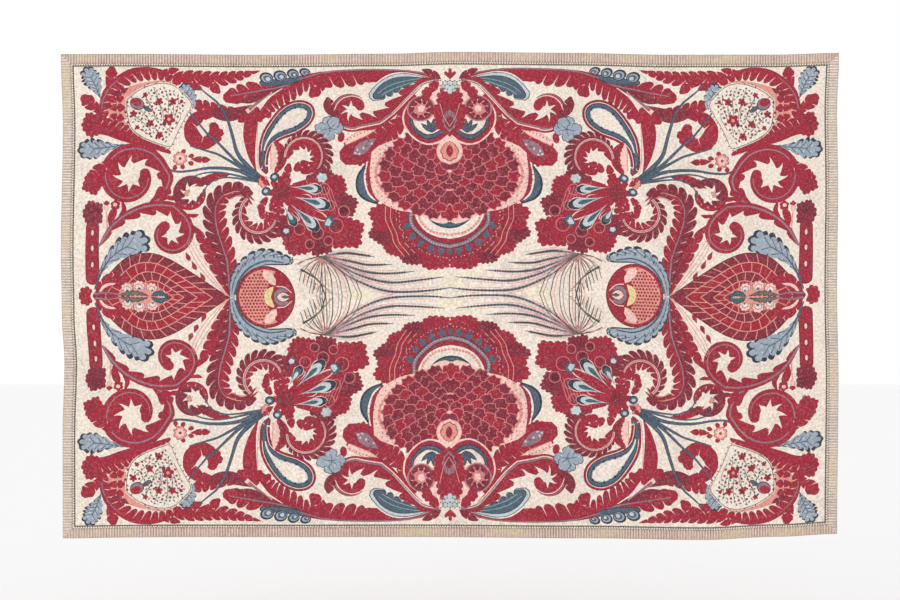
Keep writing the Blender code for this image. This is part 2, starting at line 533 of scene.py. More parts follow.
def scroll(lead, centre, radius, start, turns, wide, lobes, tighten, dye="crimson", ease=0.85, **form):
    """A frond that runs along a lead line and curls up on itself, lobed on its inner side."""
    spiral = curl(centre, radius, start, turns, tighten, ease)
    spine = evenly(np.vstack([flow([*lead, tuple(spiral[0])])[:-1], spiral]) if lead else spiral)
    sides, counts = ((wide, wide * 0.35), (lobes, 0)) if turns < 0 else ((wide * 0.35, wide), (0, lobes))
    form = {"swell": 0.45, "root": 0.25, "tip": 0.45, "slant": 0.35, "depth": 0.62, "notch": OPEN_NOTCH,
            **form}
    leaf(spine, sides, counts, dye, **form)


def ruffle(centre, radius, toward, spread, lobes, dye="crimson", depth=0.22, back=0.6, rim=None):
    """A ruffled petal: a fan of rounded lobes round a centre. toward and spread in degrees."""
    t = np.linspace(0.0, 1.0, lobes * 4 + 1)
    a = np.radians(toward - spread / 2 + spread * t)
    wave = np.abs(np.sin(np.pi * lobes * t)) ** 0.6
    fan = back + (1 - back) * np.sin(np.pi * np.clip(t, 0.02, 0.98)) ** 0.5
    middle = np.array(centre, float)
    foot = middle + radius * 0.25 * heading(math.radians(toward + 180))[0]
    for tint, inset in ((rim, 0.0), (dye, 0.8 if rim else 0.0)):
        if not tint:
            continue
        r = (radius - inset) * (1 - depth + depth * wave) * fan
        ring = around(centre, a, r)
        if spread < 300:
            ring = np.vstack([ring, [foot]])
        lay(ring, tint)


def tuft(centre, across, down, turn, teeth, dye, toward):
    """A broad squarish leaf with small teeth all round, and a few dark veins that spread one way."""
    a = np.linspace(0.0, 2 * np.pi, teeth * 3, endpoint=False)
    square = (np.abs(np.cos(a)) ** 2.8 + np.abs(np.sin(a)) ** 2.8) ** (-1 / 2.8)
    r = square * (0.87 + 0.13 * np.abs(np.sin(teeth * a / 2)) ** 0.6 + 0.07 * np.sin(5 * a + across + down))
    c, s = math.cos(math.radians(turn)), math.sin(math.radians(turn))
    x, y = across * r * np.cos(a), down * r * np.sin(a)
    middle = np.array(centre, float)
    lay(middle + np.stack([x * c - y * s, x * s + y * c], 1), dye)
    reach = min(across, down)
    for k in (-3, -2, -1, 0, 1, 2, 3) if reach > 10.0 else (-1.5, -0.5, 0.5, 1.5):
        way = heading(math.radians(toward + 25 * k))[0]
        end = middle + way * reach * (0.85 - 0.05 * abs(k))
        dart(middle - way * reach * 0.1, end, 0.65, "maroon" if dye == "crimson" else "wine")


def wedge(root, tip, wide, dye, cap=None, glow=None):
    """A seed shape: narrow at the root, blunt at the tip."""
    spine = flow([root, tip])
    lay(leaf_outline(spine, (wide + 0.9, wide + 0.9), swell=0.8, tip=0.7), "reserve")
    if cap:
        lay(leaf_outline(spine, (wide, wide), (0, 0), swell=0.8, tip=0.75), cap)
        inner = along(spine, np.linspace(0.0, 0.88, len(spine)))[0]
        lay(leaf_outline(inner, (wide * 0.85, wide * 0.85), swell=0.8, tip=0.75), dye)
    else:
        lay(leaf_outline(spine, (wide, wide), swell=0.75, tip=0.5), dye)
    if glow:
        inner = along(spine, np.linspace(0.25, 0.8, len(spine)))[0]
        lay(leaf_outline(inner, (wide * 0.4, wide * 0.4), swell=0.7, tip=0.4), glow)


def band(outer, inner, dye):
    """The area between two lines that run the same way."""
    lay(np.vstack([flow(outer), flow(inner)[::-1]]), dye)


print("helpers ready, strokes laid so far:", len(painting))


# %% [markdown]
# ## Plumes
#
# Grass plumes run from the foot of the bouquet to the middle of the cloth. They are the finest
# lines of all, over a thin pink wash. They come first, because the flowers cover their ends.

# %% Paint the plumes
def plumes():
    """Fine grass plumes that fan out from under the bouquet to the middle of the cloth."""
    for x, y, across, down in ((352, 243, 34, 4.5), (384, 232, 9, 6), (299, 243, 14, 7), (372, 224, 12, 3)):
        oval((x, y), across, down, 0, "straw", 14)
    root = (262, 202)
    rows = (((284, 199.5), (300, 201.5), (314, 204)), ((290, 208), (307, 212), (331, 212)),
            ((287, 213), (307, 219.5), (328, 221.3), (353, 219.8)),
            ((285, 216), (307, 225.6), (328.5, 230.4), (349, 229.8), (383, 226.5)),
            ((282.5, 220), (302, 231), (319, 237.7), (337, 240.4), (367, 240), (393, 237)))
    for row in rows:
        spine = flow([root, *row])
        lay(leaf_outline(spine, (3.4, 3.4), swell=0.4, tip=0.2), "plume_wash")
    for row in rows:
        spine = flow([root, *row])
        for side, reach in ((-1, 1.4), (1, 1.6), (-1, 3.0), (1, 3.2)):
            t = np.linspace(0.05, 0.85 if reach > 2 else 0.6, len(spine))
            place, normal, _ = along(spine, t)
            line(place + normal * (side * reach * np.sin(np.pi * np.clip(t, 0, 0.7)) ** 0.5)[:, None], 0.5,
                 0.35, "mauve" if reach < 2 else "blush")
        lay(leaf_outline(spine, (1.05, 1.05), swell=0.62, root=0.3, tip=0.25), "slate")
        for s in np.linspace(0.3, 0.9, 24):
            place, normal, _ = along(spine, np.array([s]))
            lay([place[0] - (0.9, 0), place[0] + normal[0] * 1.7, place[0] + (0.9, 0),
                 place[0] - normal[0] * 1.7],
                "umber")
    # the hanging side of the fan, with its crossing blades
    for k, (x, y, bend) in enumerate(((236, 210, -5), (241, 218, -4), (245, 228, -4), (250, 240, -3),
                                      (257, 244, 0), (263, 244, 2), (270, 244, 5), (280, 244, 9),
                                      (289, 243, 12), (300, 244, 15))):
        middle = ((root[0] + x) / 2 + bend * 0.6, (root[1] + y) / 2 - 1)
        line([root, middle, (x, y)], 1.3, 0.9, "olive" if k % 2 else "umber")
        line([(root[0] - 2, root[1] + 2), (middle[0] - 3, middle[1] + 1), (x - 3.5, y)], 0.9, 0.7,
             "mauve" if k % 2 else "salmon")
    line([(239, 215), (249, 221), (258, 229), (263, 244)], 2.0, 1.3, "umber")
    for k in range(8):
        line([(240 + k * 3.4, 216 + k * 3.2), (237 + k * 3.6, 227 + k * 2.4)], 1.0, 0.7, "umber")
        line([(245 + k * 3, 214 + k * 3.6), (254 + k * 2.4, 224 + k * 2.4)], 0.9, 0.6, "olive")


plumes()
print("plumes:", len(painting), "strokes so far")


# %% [markdown]
# ## Corner sprays
#
# In each outer corner a blue leaf points outwards and a long lobed arch sweeps over towards the top
# edge. A painter would outline such a leaf in one pull of the reed pen and nick its lobes
# afterwards. The leaf helper works the same way: a spine, two widths and a count of lobes.

# %% Paint the corner sprays
def corner():
    """The arch, buds and blue leaves of the outer corner."""
    lay(flow([(43, 40), (52, 35), (64, 33), (80, 28), (104, 26), (118, 36), (118, 44), (64, 60), (68, 74),
              (84, 88), (103, 96), (90, 93), (66, 82), (50, 72), (44, 58)]), "salmon")
    blue_leaf([(38, 45), (33, 31), (26, 18)], wide=(10.5, 10.0), lobes=(6, 5), swell=0.66, tip=0.7)
    leaf([(45, 33), (48, 25), (50, 15)], wide=(6.0, 6.5), lobes=(2, 2), swell=0.6, tip=0.7, root=0.5)
    # arch, with its lobes underneath
    leaf([(36, 68), (36.5, 52), (42, 35), (55, 22.5), (71, 14.5), (90, 13.5), (106, 18), (119, 28)],
         wide=(0.8, 14.0), lobes=(0, 13), root=0.6, swell=0.5, tip=0.3, depth=0.42, slant=0.5)
    leaf([(96, 22), (106, 18), (116, 15)], wide=(4.5, 3.6), lobes=(2, 2), tip=0.4)
    stem([(38, 60), (40, 46), (47, 33), (58, 23)], 1.9, 0.8, "mauve")
    # lobes that turn in towards the medallion
    for x, y, tip_x, tip_y in ((45, 46, 59, 43), (45, 53, 60, 53), (46, 61, 59, 64)):
        leaf([(x, y), ((x + tip_x) / 2, (y + tip_y) / 2), (tip_x, tip_y)], wide=(4.4, 4.4), lobes=(2, 2),
             swell=0.6, tip=0.5, root=0.5)
    leaf([(48, 40), (57, 38), (66, 33)], wide=(3.0, 3.0), lobes=(2, 2), dye="maroon")
    # buds and the long leaf at the left
    leaf([(40, 60), (31, 52), (22, 44)], wide=(8.0, 7.5), lobes=(3, 2), swell=0.65, tip=0.7, root=0.3)
    tuft((30, 70.5), 11.5, 12.5, 0, 13, "crimson", 200)
    leaf([(36, 71), (46, 75), (58, 78)], wide=(10.0, 6.0), root=0.9, swell=0.2)
    leaf([(30, 73), (44, 74), (58, 79), (72, 84), (88, 90), (107, 99)], wide=(11.0, 7.5), lobes=(13, 0),
         root=0.8, swell=0.25, tip=0.15, depth=0.4, slant=0.4)
    blue_leaf([(66, 90), (46, 93), (22, 96)], wide=(11.0, 12.0), lobes=(5, 6), swell=0.76, tip=0.8)


corner()
print("with the corner sprays:", len(painting), "strokes")


# %% [markdown]
# ## Sprays along the top
#
# Slate stems rise from the flower knot. A hooked leaf, a flared trunk and a feather of lobes fill
# the space between them, and four blue eyes sit on the feather's back.

# %% Paint the top left sprays
def top_left_sprays():
    """The leaf, sickle, stems, trunk and feather between the corner and the paisley."""
    leaf([(110, 22), (124, 21), (140, 22), (156, 22.5), (172, 20.5), (186, 18), (199, 15.5)],
         wide=(6.5, 10.0), lobes=(10, 9), swell=0.34, root=0.4, depth=0.42, slant=0.9)
    leaf([(138, 23), (147, 29), (156, 37)], wide=(5.5, 5.0), lobes=(2, 2), swell=0.6, tip=0.5, root=0.6)
    leaf([(118, 22), (126, 28), (138, 34)], wide=(4.5, 4.0), lobes=(2, 2), swell=0.6, tip=0.5, root=0.6)
    # hooked leaf
    leaf(np.vstack([flow([(158, 56), (148, 55), (139, 57)])[:-1], curl((140, 77), 20.5, 262, -0.80, 0.30)]),
         wide=(13.5, 2.5), lobes=(3, 9), swell=0.5, root=0.4, tip=0.75, slant=0.4, depth=0.25)
    tuft((151.5, 80), 8.5, 8.5, 20, 10, "crimson", 120)
    line([(139, 66), (143, 69), (144.5, 76), (141, 82)], 3.4, 0.8, "ground")
    leaf([(174, 56), (152, 54), (131, 49)], wide=(7.5, 7), lobes=(4, 5), swell=0.65, tip=0.6, root=0.5)
    leaf([(146, 56), (166, 59), (180, 55), (191, 50)], wide=(5.5, 8.0), dye="maroon", swell=0.35, root=0.5)
    # trunk with its flared top
    leaf([(195, 119), (190, 103), (188, 84), (189, 70), (193, 56)], wide=(7.8, 6.2), root=0.05, tip=0.8,
         swell=0.62)
    for x, y, tip_x, tip_y in ((192, 59, 177, 66), (196, 57, 198, 66), (199, 54, 207, 62)):
        leaf([(x, y), ((x + tip_x) / 2, (y + tip_y) / 2 - 1), (tip_x, tip_y)], wide=(4.6, 4.6), swell=0.6,
             tip=0.6, root=0.5)
    line([(195.6, 70), (194.8, 86), (195.6, 104), (197, 116)], 0.9, 0.7, "salmon")
    # slate stems
    for points, wide in (([(135, 31), (145, 40), (155, 48.5), (163, 62), (169, 80), (177, 103), (202, 127)],
                          5.2),
                         ([(123, 54), (134, 68), (144, 80), (155, 89), (166, 100), (178, 111), (202, 127)],
                          4.0),
                         ([(126, 91.5), (134, 94), (144, 97), (154, 100), (167, 107), (179, 114),
                           (202, 128)], 4.0),
                         ([(86, 111), (98, 112), (112, 117.5), (128, 117), (148, 114), (175, 116.5),
                           (202, 129)], 4.4)):
        stem(points, 1.4, wide)
    blue_leaf([(129, 54), (126, 43), (122, 33)], wide=(8.5, 8.5), lobes=(4, 4), swell=0.55, tip=0.7, root=0.4)
    # feather that falls from the long top leaf
    leaf([(256, 19), (240, 24), (224, 33), (208, 44), (197, 58)], wide=(16, 1.0), lobes=(9, 0), root=0.7,
         swell=0.45, slant=0.4, tip=0.6, depth=0.42)
    leaf([(238, 25), (218, 31), (200, 34), (184, 38), (165, 43)], wide=(10.0, 11), lobes=(4, 6), swell=0.68,
         tip=0.6, root=0.2, slant=0.6)
    leaf([(226, 30), (206, 36), (188, 42), (174, 47)], wide=(7, 1.5), dye="maroon", swell=0.6)
    line([(184, 57.5), (196, 48), (210, 37.5)], 5.0, 1.0, "reserve")
    stem([(186.5, 55), (196, 47.5), (209, 38)], 3.0, 0.9, "mauve")
    stem([(258, 20), (240, 24.5), (222, 31.5), (200, 35.5), (168, 41)], 2.8, 1.6, "mauve")
    # blue eyes along the spine
    leaf([(262, 18), (246, 20.5), (226, 25), (199, 27)], wide=(5.0, 2.0), dye="slate", rim="navy", root=0.1,
         tip=0.7, swell=0.6)
    for x, y, across, down in ((204.5, 22.8, 7.2, 5.6), (218.2, 20.8, 7.0, 5.6), (231, 18.8, 6.2, 5.0),
                               (243, 17.4, 5.8, 4.2)):
        oval((x, y), across, down, 14, "navy", 14)
        oval((x + 0.5, y + 0.5), across - 1.5, down - 1.4, 14, "pale_blue", 12)
        oval((x + 1.3, y + 0.9), across - 2.6, down - 2.3, 14, "slate", 9)
        oval((x + 1.6, y + 1.2), across - 4.6, down - 3.5, 14, "haze", 6)


top_left_sprays()
print("with the top sprays:", len(painting), "strokes")


# %% [markdown]
# ## Flower medallion
#
# A cream panel strewn with tiny flowers hangs under the arch. The small buds sit on a sunflower
# spiral, which spreads them evenly without a grid, as a practised hand does.

# %% Paint the medallion
def medallion():
    """The cream panel strewn with tiny flowers."""
    ring = flow([(63.5, 45), (73, 37), (86, 31), (100, 28.5), (112, 31.5), (121, 39.5), (128, 49.3),
                 (122, 61), (115, 74), (110, 86), (106, 92.5), (95, 89.5), (81, 84), (71, 77.5), (65.5, 69),
                 (63, 56)])
    middle = ring.mean(axis=0)
    for share, dye in ((1.035, "ground"), (1.012, "olive"), (0.985, "ground")):
        lay(middle + (ring - middle) * share, dye)
    dots(middle + (ring[12:] - middle) * 1.05, 26, 0.9, "crimson")
    root = (104, 91)
    for x, y in ((73, 52), (82, 44), (95, 47), (109, 46.5), (105, 64), (86, 68.5), (70, 61), (73, 73.5),
                 (117, 57), (95, 78), (80, 39), (91, 34), (103, 35), (115, 40)):
        line([((root[0] + x) / 2, (root[1] + y) / 2),
              (x * 0.8 + root[0] * 0.2 + 1.5, y * 0.8 + root[1] * 0.2), (x, y)],
             0.6, 0.5, "umber")
    oval((73.5, 49), 7.4, 6.2, 20, "navy", 12)
    oval((73.3, 48.7), 6.6, 5.4, 20, "mauve", 12)
    oval((72.3, 47), 5.6, 4.0, 20, "crimson")
    leaf([(79, 51), (88, 57)], wide=(2.6, 2.6), dye="slate", root=0.6)
    blooms = ((95.5, 46.5, 4.2), (109.2, 46.5, 4.2), (104.6, 64.4, 6.6), (86, 68.5, 4.2), (95.4, 80.5, 4.2),
              (82, 40, 3.0), (69.8, 59, 4.0), (73.4, 72.6, 2.6), (101, 54.5, 2.0), (118, 46.5, 2.2))
    for x, y, r in blooms:
        blossom((x, y), r, "salmon" if r > 5 else "wine", x * 7)
        oval((x - r * 0.7, y + r * 0.7), r * 0.35, r * 0.35, 0, "wine", 5)
    for k in range(230):
        turn, reach = k * 2.39996, math.sqrt((k + 0.5) / 230)
        x, y = 94.5 + 33.5 * reach * math.cos(turn), 58.5 + 30.5 * reach * math.sin(turn)
        near = np.hypot(*(middle + (ring - middle) * 0.93 - (x, y)).T).min()
        inside = np.hypot(x - middle[0], y - middle[1]) < np.hypot(*(ring - (x, y)).T).min() + 60
        if near < 1.5 or not inside or y > 92 - abs(x - 105) * 0.5 or (y - 45) > (128 - x) * 1.9 - 5:
            continue
        if (y - 69) * 0.9 > (x - 64) * 0.62 or (45 - y) * 1.05 > (x - 62.5) * 0.75:
            continue
        if min(math.hypot(x - bx, y - by) - r for bx, by, r in blooms) < 0.8:
            continue
        if math.hypot(x - 73, y - 49) < 8:
            continue
        if k % 4 == 0:
            oval((x, y), 1.3, 1.6, k * 37, "crimson" if k % 8 else "maroon", 5)
        else:
            way, side = heading(k * 1.7)
            spot = np.array([x, y])
            lay([spot - way * 1.8, spot + side * 0.75, spot + way * 1.8, spot - side * 0.75],
                "teal" if k % 2 else "umber")


medallion()
print("with the medallion:", len(painting), "strokes")


# %% [markdown]
# ## Scrolls of the left side
#
# Two great fronds curl up on themselves, each with a grey vein on its outer edge and hooked lobes
# inside. Between them stand a stalk leaf, little bells, a broad blue leaf and a pink flower.

# %% Paint the left side
def left_side():
    """The two great scrolls, the stalk leaf and what grows between them."""
    # upper scroll
    lead = [(87, 151), (98, 145), (105, 133)]
    scroll(lead, (67.5, 123.5), 40, 0, -1.05, 16.0, 10, tighten=0.56, ease=0.5, root=0.35, tip=0.5,
           swell=0.5, depth=0.55, slant=1.0)
    line(np.vstack([flow([*lead, (107.5, 123.5)])[:-1], curl((67.5, 123.5), 40, 0, -1.0, 0.54, 0.5)]),
         2.0, 0.9, "mauve")
    leaf([(50, 106), (40, 114), (30, 124)], wide=(7.0, 8.0), lobes=(3, 3), swell=0.6, tip=0.75, root=0.3)
    tuft((31, 129), 10.5, 12.0, 30, 13, "crimson", 140)
    # stalk leaf
    line([(31.3, 172), (31, 196), (31.3, 226)], 13.5, 14.5, "wine")
    oval((31.3, 226), 7.2, 6.0, 0, "wine", 12)
    line([(31.3, 170), (31, 196), (31.3, 227)], 12.2, 13.0, "crimson")
    oval((31.3, 226), 6.4, 5.2, 0, "crimson", 12)
    tuft((31.5, 160), 10.5, 13.0, 0, 14, "maroon", 270)
    for y in (179.5, 195, 211.5):
        oval((31.2, y), 3.2, 5.2, 0, "maroon", 9)
        oval((31.2, y), 1.4, 2.9, 0, "reserve", 8)
    # bells
    line([(46, 182), (46, 168), (45, 157)], 1.8, 1.2, "salmon")
    line([(50, 178), (57, 166), (63, 156)], 1.0, 0.9, "salmon")
    leaf([(50, 178), (50, 166), (54, 155)], wide=(4.2, 4.0), tip=0.5, swell=0.6)
    leaf([(45.6, 160), (44.6, 152)], wide=(2.6, 2.6), dye="reserve", rim="salmon", swell=0.6, tip=0.6)
    ruffle((45.0, 151), 4.0, -90, 200, 3)
    ruffle((54, 151.6), 5.2, -90, 330, 5, "crimson", back=1)
    oval((53.6, 151.2), 2.2, 1.9, 0, "reserve", 8)
    leaf([(58, 163), (63, 157), (61, 149)], wide=(2.4, 2.6), tip=0.5, root=0.4)
    # lower scroll
    lead = [(38, 193), (50, 174), (66, 160.5), (86, 152.5), (104, 151)]
    scroll(lead, (110, 180), 28, -86, 0.90, 11.5, 11, tighten=0.57, ease=0.45, root=0.25, tip=0.7,
           swell=0.50, depth=0.55, slant=1.0)
    line(np.vstack([flow(lead)[:-1], curl((110, 180), 28, -86, 0.8, 0.54, 0.45)]), 2.4, 0.9, "mauve")
    leaf([(97, 146), (104, 141), (108, 133)], wide=(4.0, 4.6), lobes=(1, 2), root=0.5)
    leaf([(104, 144), (112, 144), (120, 141)], wide=(2.6, 2.8), root=0.4)
    leaf([(126, 160), (132, 161.5), (138, 160)], wide=(2.0, 2.2), root=0.4)
    # blue leaf beside the artichoke
    blue_leaf([(33, 237), (41, 217), (52, 203), (65, 194), (80, 188)], wide=(14.0, 12.5), lobes=(8, 5),
              swell=0.8, tip=0.85, root=0.05)
    stem([(33.5, 236), (40, 220), (50, 204)], 2.2, 1.0, "slate")
    ruffle((25, 241), 8.5, 200, 300, 6)
    # pink flower with petals
    for x, y, turn in ((119, 98, -40), (127, 102, -10), (119, 112, 60), (127, 109, 20), (112, 113, 100)):
        a = math.radians(turn)
        leaf([(x - 3 * math.cos(a), y - 3 * math.sin(a)), (x + 3.6 * math.cos(a), y + 3.6 * math.sin(a))],
             wide=(2.4, 2.4), dye="crimson", tip=0.3)
    ruffle((116.6, 104.5), 7.4, 0, 355, 8, "salmon", back=1, rim="crimson")
    ruffle((116.6, 104.5), 5.4, 10, 355, 7, "reserve", back=1, rim="salmon")
    oval((116.6, 104.5), 1.6, 1.6, 0, "crimson", 7)
    leaf([(127, 105), (137, 105.5), (148, 106)], wide=(3.6, 3.8), lobes=(2, 2), swell=0.5)
    # open hook scroll
    leaf([(132, 133), (142, 125), (154, 121), (168, 120.5)], wide=(2.5, 6.0), lobes=(0, 3), swell=0.5)
    scroll([(150, 131), (141, 125)], (128.5, 139.5), 15.5, -52, -0.84, 9.0, 7, tighten=0.12,
           dye="maroon", root=0.6, tip=0.5, slant=1.0)
    leaf(curl((128.5, 139.5), 15.8, 150, -0.46, 0.05), wide=(6.0, 0.8), lobes=(5, 0), root=0.3, tip=0.4)
    ruffle((126, 139), 4.0, 200, 260, 4, "salmon", rim="mauve")
    stem([(122, 130), (131, 122.5), (146, 118.5), (164, 119.5), (197, 127)], 1.2, 2.4)
    stem([(141, 143), (144, 133), (152, 126.5), (166, 123.5), (197, 128)], 1.2, 2.2)


left_side()
print("with the left side:", len(painting), "strokes")


# %% [markdown]
# ## Artichoke
#
# The pointed bud on the middle line is a net of scales. Rows of lighter line are left free of dye,
# so here they are laid over the reds: curved rows that shrink towards the tip, and cross lines that
# step from row to row.

# %% Paint the artichoke
def artichoke():
    """Half of the great scaled bud on the middle line, at the left."""
    top = flow([(31, 242), (42, 228), (54, 214), (67, 203.5), (81, 199), (96, 199.5), (110, 204.5),
                (123, 212), (137, 221.5), (152, 232), (168, 243)])
    lay(np.vstack([top, [(168, 247), (31, 247)]]), "wine")
    base = np.array([86.0, 243.0])
    tip = np.array([150.0, 243.0])
    shares = (0.02, 0.22, 0.43, 0.63, 0.80)
    for k, share in enumerate(shares):
        centre = base + (tip - base) * 0.25 * share
        ring = centre + (top - centre) * (1 - share)
        dye = "maroon" if k in (0, 2) else "crimson"
        lay(np.vstack([ring, [ring[-1] + (0, 4), ring[0] + (0, 4)]]), dye)
        if k:
            line(ring, 0.9, 0.9, "salmon")
        # cross lines of this row, set between those of the row above
        count = 13 - 2 * k
        if k + 1 < len(shares):
            after = base + (tip - base) * 0.25 * shares[k + 1]
            inner = after + (top - after) * (1 - shares[k + 1])
            for j in range(count):
                s = (j + (0.5 if k % 2 else 0.0)) / count * 0.94 + 0.04
                here = along(ring, np.array([s]))[0][0]
                there = along(inner, np.array([max(0.0, s - 0.03)]))[0][0]
                line([tuple(here), tuple(there)], 0.85, 0.8, "salmon")
                beside = along(ring, np.array([min(1.0, s + 0.5 / count)]))[0][0]
                centre_low = along(inner, np.array([min(1.0, s + 0.5 / count)]))[0][0]
                leaf([tuple(beside * 0.85 + centre_low * 0.15), tuple(beside * 0.3 + centre_low * 0.7)],
                     wide=(1.4, 1.4), dye=dye)
    # buds at its heart
    leaf([(35, 243), (42, 233), (51, 226), (62, 228)], wide=(7, 7), lobes=(3, 2), root=0.3, tip=0.5)
    leaf([(37, 242), (44, 234), (55, 230)], wide=(2.8, 2.6), dye="reserve")
    leaf([(39, 241), (45, 235.5), (53, 231.5)], wide=(1.6, 1.4))
    lay(flow([(56, 247), (60, 235), (72, 229), (88, 229.5), (101, 236), (106, 247)]), "salmon")
    for x, y, r in ((66, 236, 7.5), (78, 233.5, 7.5), (91, 235, 7.0), (101, 241, 6.0)):
        ruffle((x, y), r, -80, 250, 6, "reserve", rim="crimson")
        ruffle((x, y + 1), r - 2.6, -85, 230, 5, "plume_wash", rim="mauve")
        ruffle((x + 0.5, y + 2), r - 5.4, -90, 230, 4, "slate")
    leaf([(58, 242), (74, 239.5), (88, 242)], wide=(3, 3), lobes=(6, 6), dye="olive", rim="navy")
    leaf([(90, 242.5), (99, 239), (108, 243)], wide=(3.0, 3.0), lobes=(3, 3), dye="teal", rim="navy")
    stem([(33, 241), (46, 239.5), (60, 242)], 3.0, 1.6, "mauve")


artichoke()
print("with the artichoke:", len(painting), "strokes")


# %% [markdown]
# ## Acanthus
#
# A tall double leaf rises from the middle line: maroon lobes on one side of its grey vein, crimson
# on the other. Its tip bends over, and an open curl with a fringe leans against it.

# %% Paint the acanthus
def acanthus():
    """The tall double leaf left of the bouquet, its pale companion and the scroll beside it."""
    for k in range(3):
        line([(166 - k, 241), (150 - 3.4 * k, 216 + k), (137 - 3.0 * k, 196 + 1.5 * k),
              (130 - 1.2 * k, 184 + 2 * k)],
             0.9, 0.6, "salmon")
    leaf([(168, 242), (159, 221), (151, 203), (142, 186), (130, 169)], wide=(7.0, 8.0), lobes=(7, 4),
         swell=0.5, root=0.1, depth=0.4)
    leaf([(164, 232), (155, 212), (146, 196)], wide=(1.5, 2.2), dye="maroon")
    for x, y in ((127, 201), (133, 210), (141, 221)):
        leaf([(x - 2, y - 4), (x, y), (x + 2, y + 4)], wide=(2.2, 2.6), swell=0.6, tip=0.5)
    spine = [(168, 242), (167, 222), (165.5, 205), (161, 190), (156, 175), (153.5, 158), (157, 146),
             (166, 138.5), (178, 136), (189, 141)]
    leaf(spine, wide=(13.0, 1.0), lobes=(13, 0), dye="maroon", root=0.08, swell=0.52, tip=0.35, depth=0.42,
         slant=0.8)
    leaf(spine, wide=(0.8, 12.0), lobes=(0, 13), root=0.08, swell=0.42, tip=0.2, depth=0.42, slant=0.8)
    stem(spine[:-1], 3.0, 1.0, "mauve")
    # curved petals at its bent tip
    for x, y, reach in ((160, 141, 34), (166, 145, 26)):
        leaf([(x, y), (x + reach * 0.5, y - 5), (x + reach, y + 6)], wide=(2.6, 2.2), dye="maroon")
        line([(x + 2, y), (x + reach * 0.5, y - 3.6), (x + reach - 2, y + 5.4)], 1.0, 0.6, "salmon")
    # open curl with its fringe
    leaf(curl((197.5, 159.5), 19, 236, -0.74, 0.05), wide=(1.0, 12.0), lobes=(0, 15), dye="maroon", swell=0.5,
         root=0.3, tip=0.6, depth=0.45, slant=0.5)
    leaf(curl((197.5, 159.5), 19, 240, -0.76, 0.05), wide=(10.0, 1.0), lobes=(10, 0), swell=0.55, root=0.4,
         tip=0.55, depth=0.55, slant=0.6)
    line(curl((197.5, 159.5), 19.2, 232, -0.74, 0.05), 2.6, 1.6, "reserve")
    line(curl((197.5, 159.5), 19.2, 232, -0.74, 0.05), 1.3, 0.8, "mauve")
    leaf([(214, 160), (206, 163), (199, 157)], wide=(5.0, 5.5), lobes=(2, 3), root=0.5, tip=0.5)


acanthus()
print("with the acanthus:", len(painting), "strokes")


# %% [markdown]
# ## Thistle
#
# Half a small round flower sits on the middle line in a blue cup. Its net comes from dabs of
# crimson between threads of wax, so the helper sets dabs on a staggered lattice inside the oval.

# %% Paint the thistle
def thistle():
    """Half of the small netted flower on the middle line, in its blue cup."""
    blue_leaf([(169, 243), (173, 225), (184, 210), (203, 201), (229, 206)], wide=(8.5, 9.5), lobes=(10, 0),
              swell=0.6, root=0.3, tip=0.45, slant=0.2, heart=False)
    stem([(172.5, 240), (178, 224), (189, 212), (205, 206), (222, 208)], 2.4, 1.2, "slate")
    for x, y in ((177, 219), (184, 211), (193, 206), (203, 203.5), (213, 203.5), (221, 205)):
        leaf([(x, y), (x - 0.8, y - 4.5)], wide=(1.1, 1.1), dye="slate")
    turn = np.radians(np.linspace(180, 360, 25))
    for dye, across, down, left, right in (("wine", 29.5, 33, 173, 233), ("crimson", 28.5, 32, 174, 232),
                                           ("salmon", 26.5, 29.5, 176, 229)):
        shell = np.stack([203 + across * np.cos(turn), 244 + down * np.sin(turn)], 1)
        lay(np.vstack([shell, [(right, 248), (left, 248)]]), dye)
    for row in range(9):
        for k in range(16):
            x = 178 + 3.2 * k + (1.6 if row % 2 else 0.0)
            y = 243 - 3.3 * row
            if ((x - 202) / 25.5) ** 2 + ((y - 244) / 28.5) ** 2 > 0.95:
                continue
            if x > 212 - 0.2 * (243 - y) and y > 219:
                continue
            lay([(x - 1.45, y), (x, y - 1.5), (x + 1.45, y), (x, y + 1.5)], "crimson")
    lay(flow([(208, 247), (205, 237), (208, 226), (214, 217), (222, 220), (229, 231), (231, 247)]), "crimson")
    leaf([(201, 216), (207, 222), (213, 231)], wide=(5.0, 4.6), lobes=(2, 2), dye="reserve", root=0.4)
    leaf([(205, 248), (205, 240), (211, 232)], wide=(3.4, 3.4), dye="butter", root=0.8)
    leaf([(211, 247), (217, 238), (227, 237)], wide=(4.6, 4.6), dye="mauve", rim="navy")
    leaf([(213, 247), (219, 240.5), (227, 242)], wide=(3.2, 3.2), dye="reserve", rim="wine")
    leaf([(217, 247), (221, 243), (227, 244)], wide=(2.2, 2.2), dye="teal")
    line([(214, 232), (222, 233), (229, 239)], 1.2, 0.8, "reserve")


thistle()
print("with the thistle:", len(painting), "strokes")


# %% [markdown]
# ## Top middle
#
# A long feather hangs under the top edge and ends over a dark blue leaf. Below it a second feather
# curls round a cream star, next to a pale blue flower and a leaf with a grey heart.

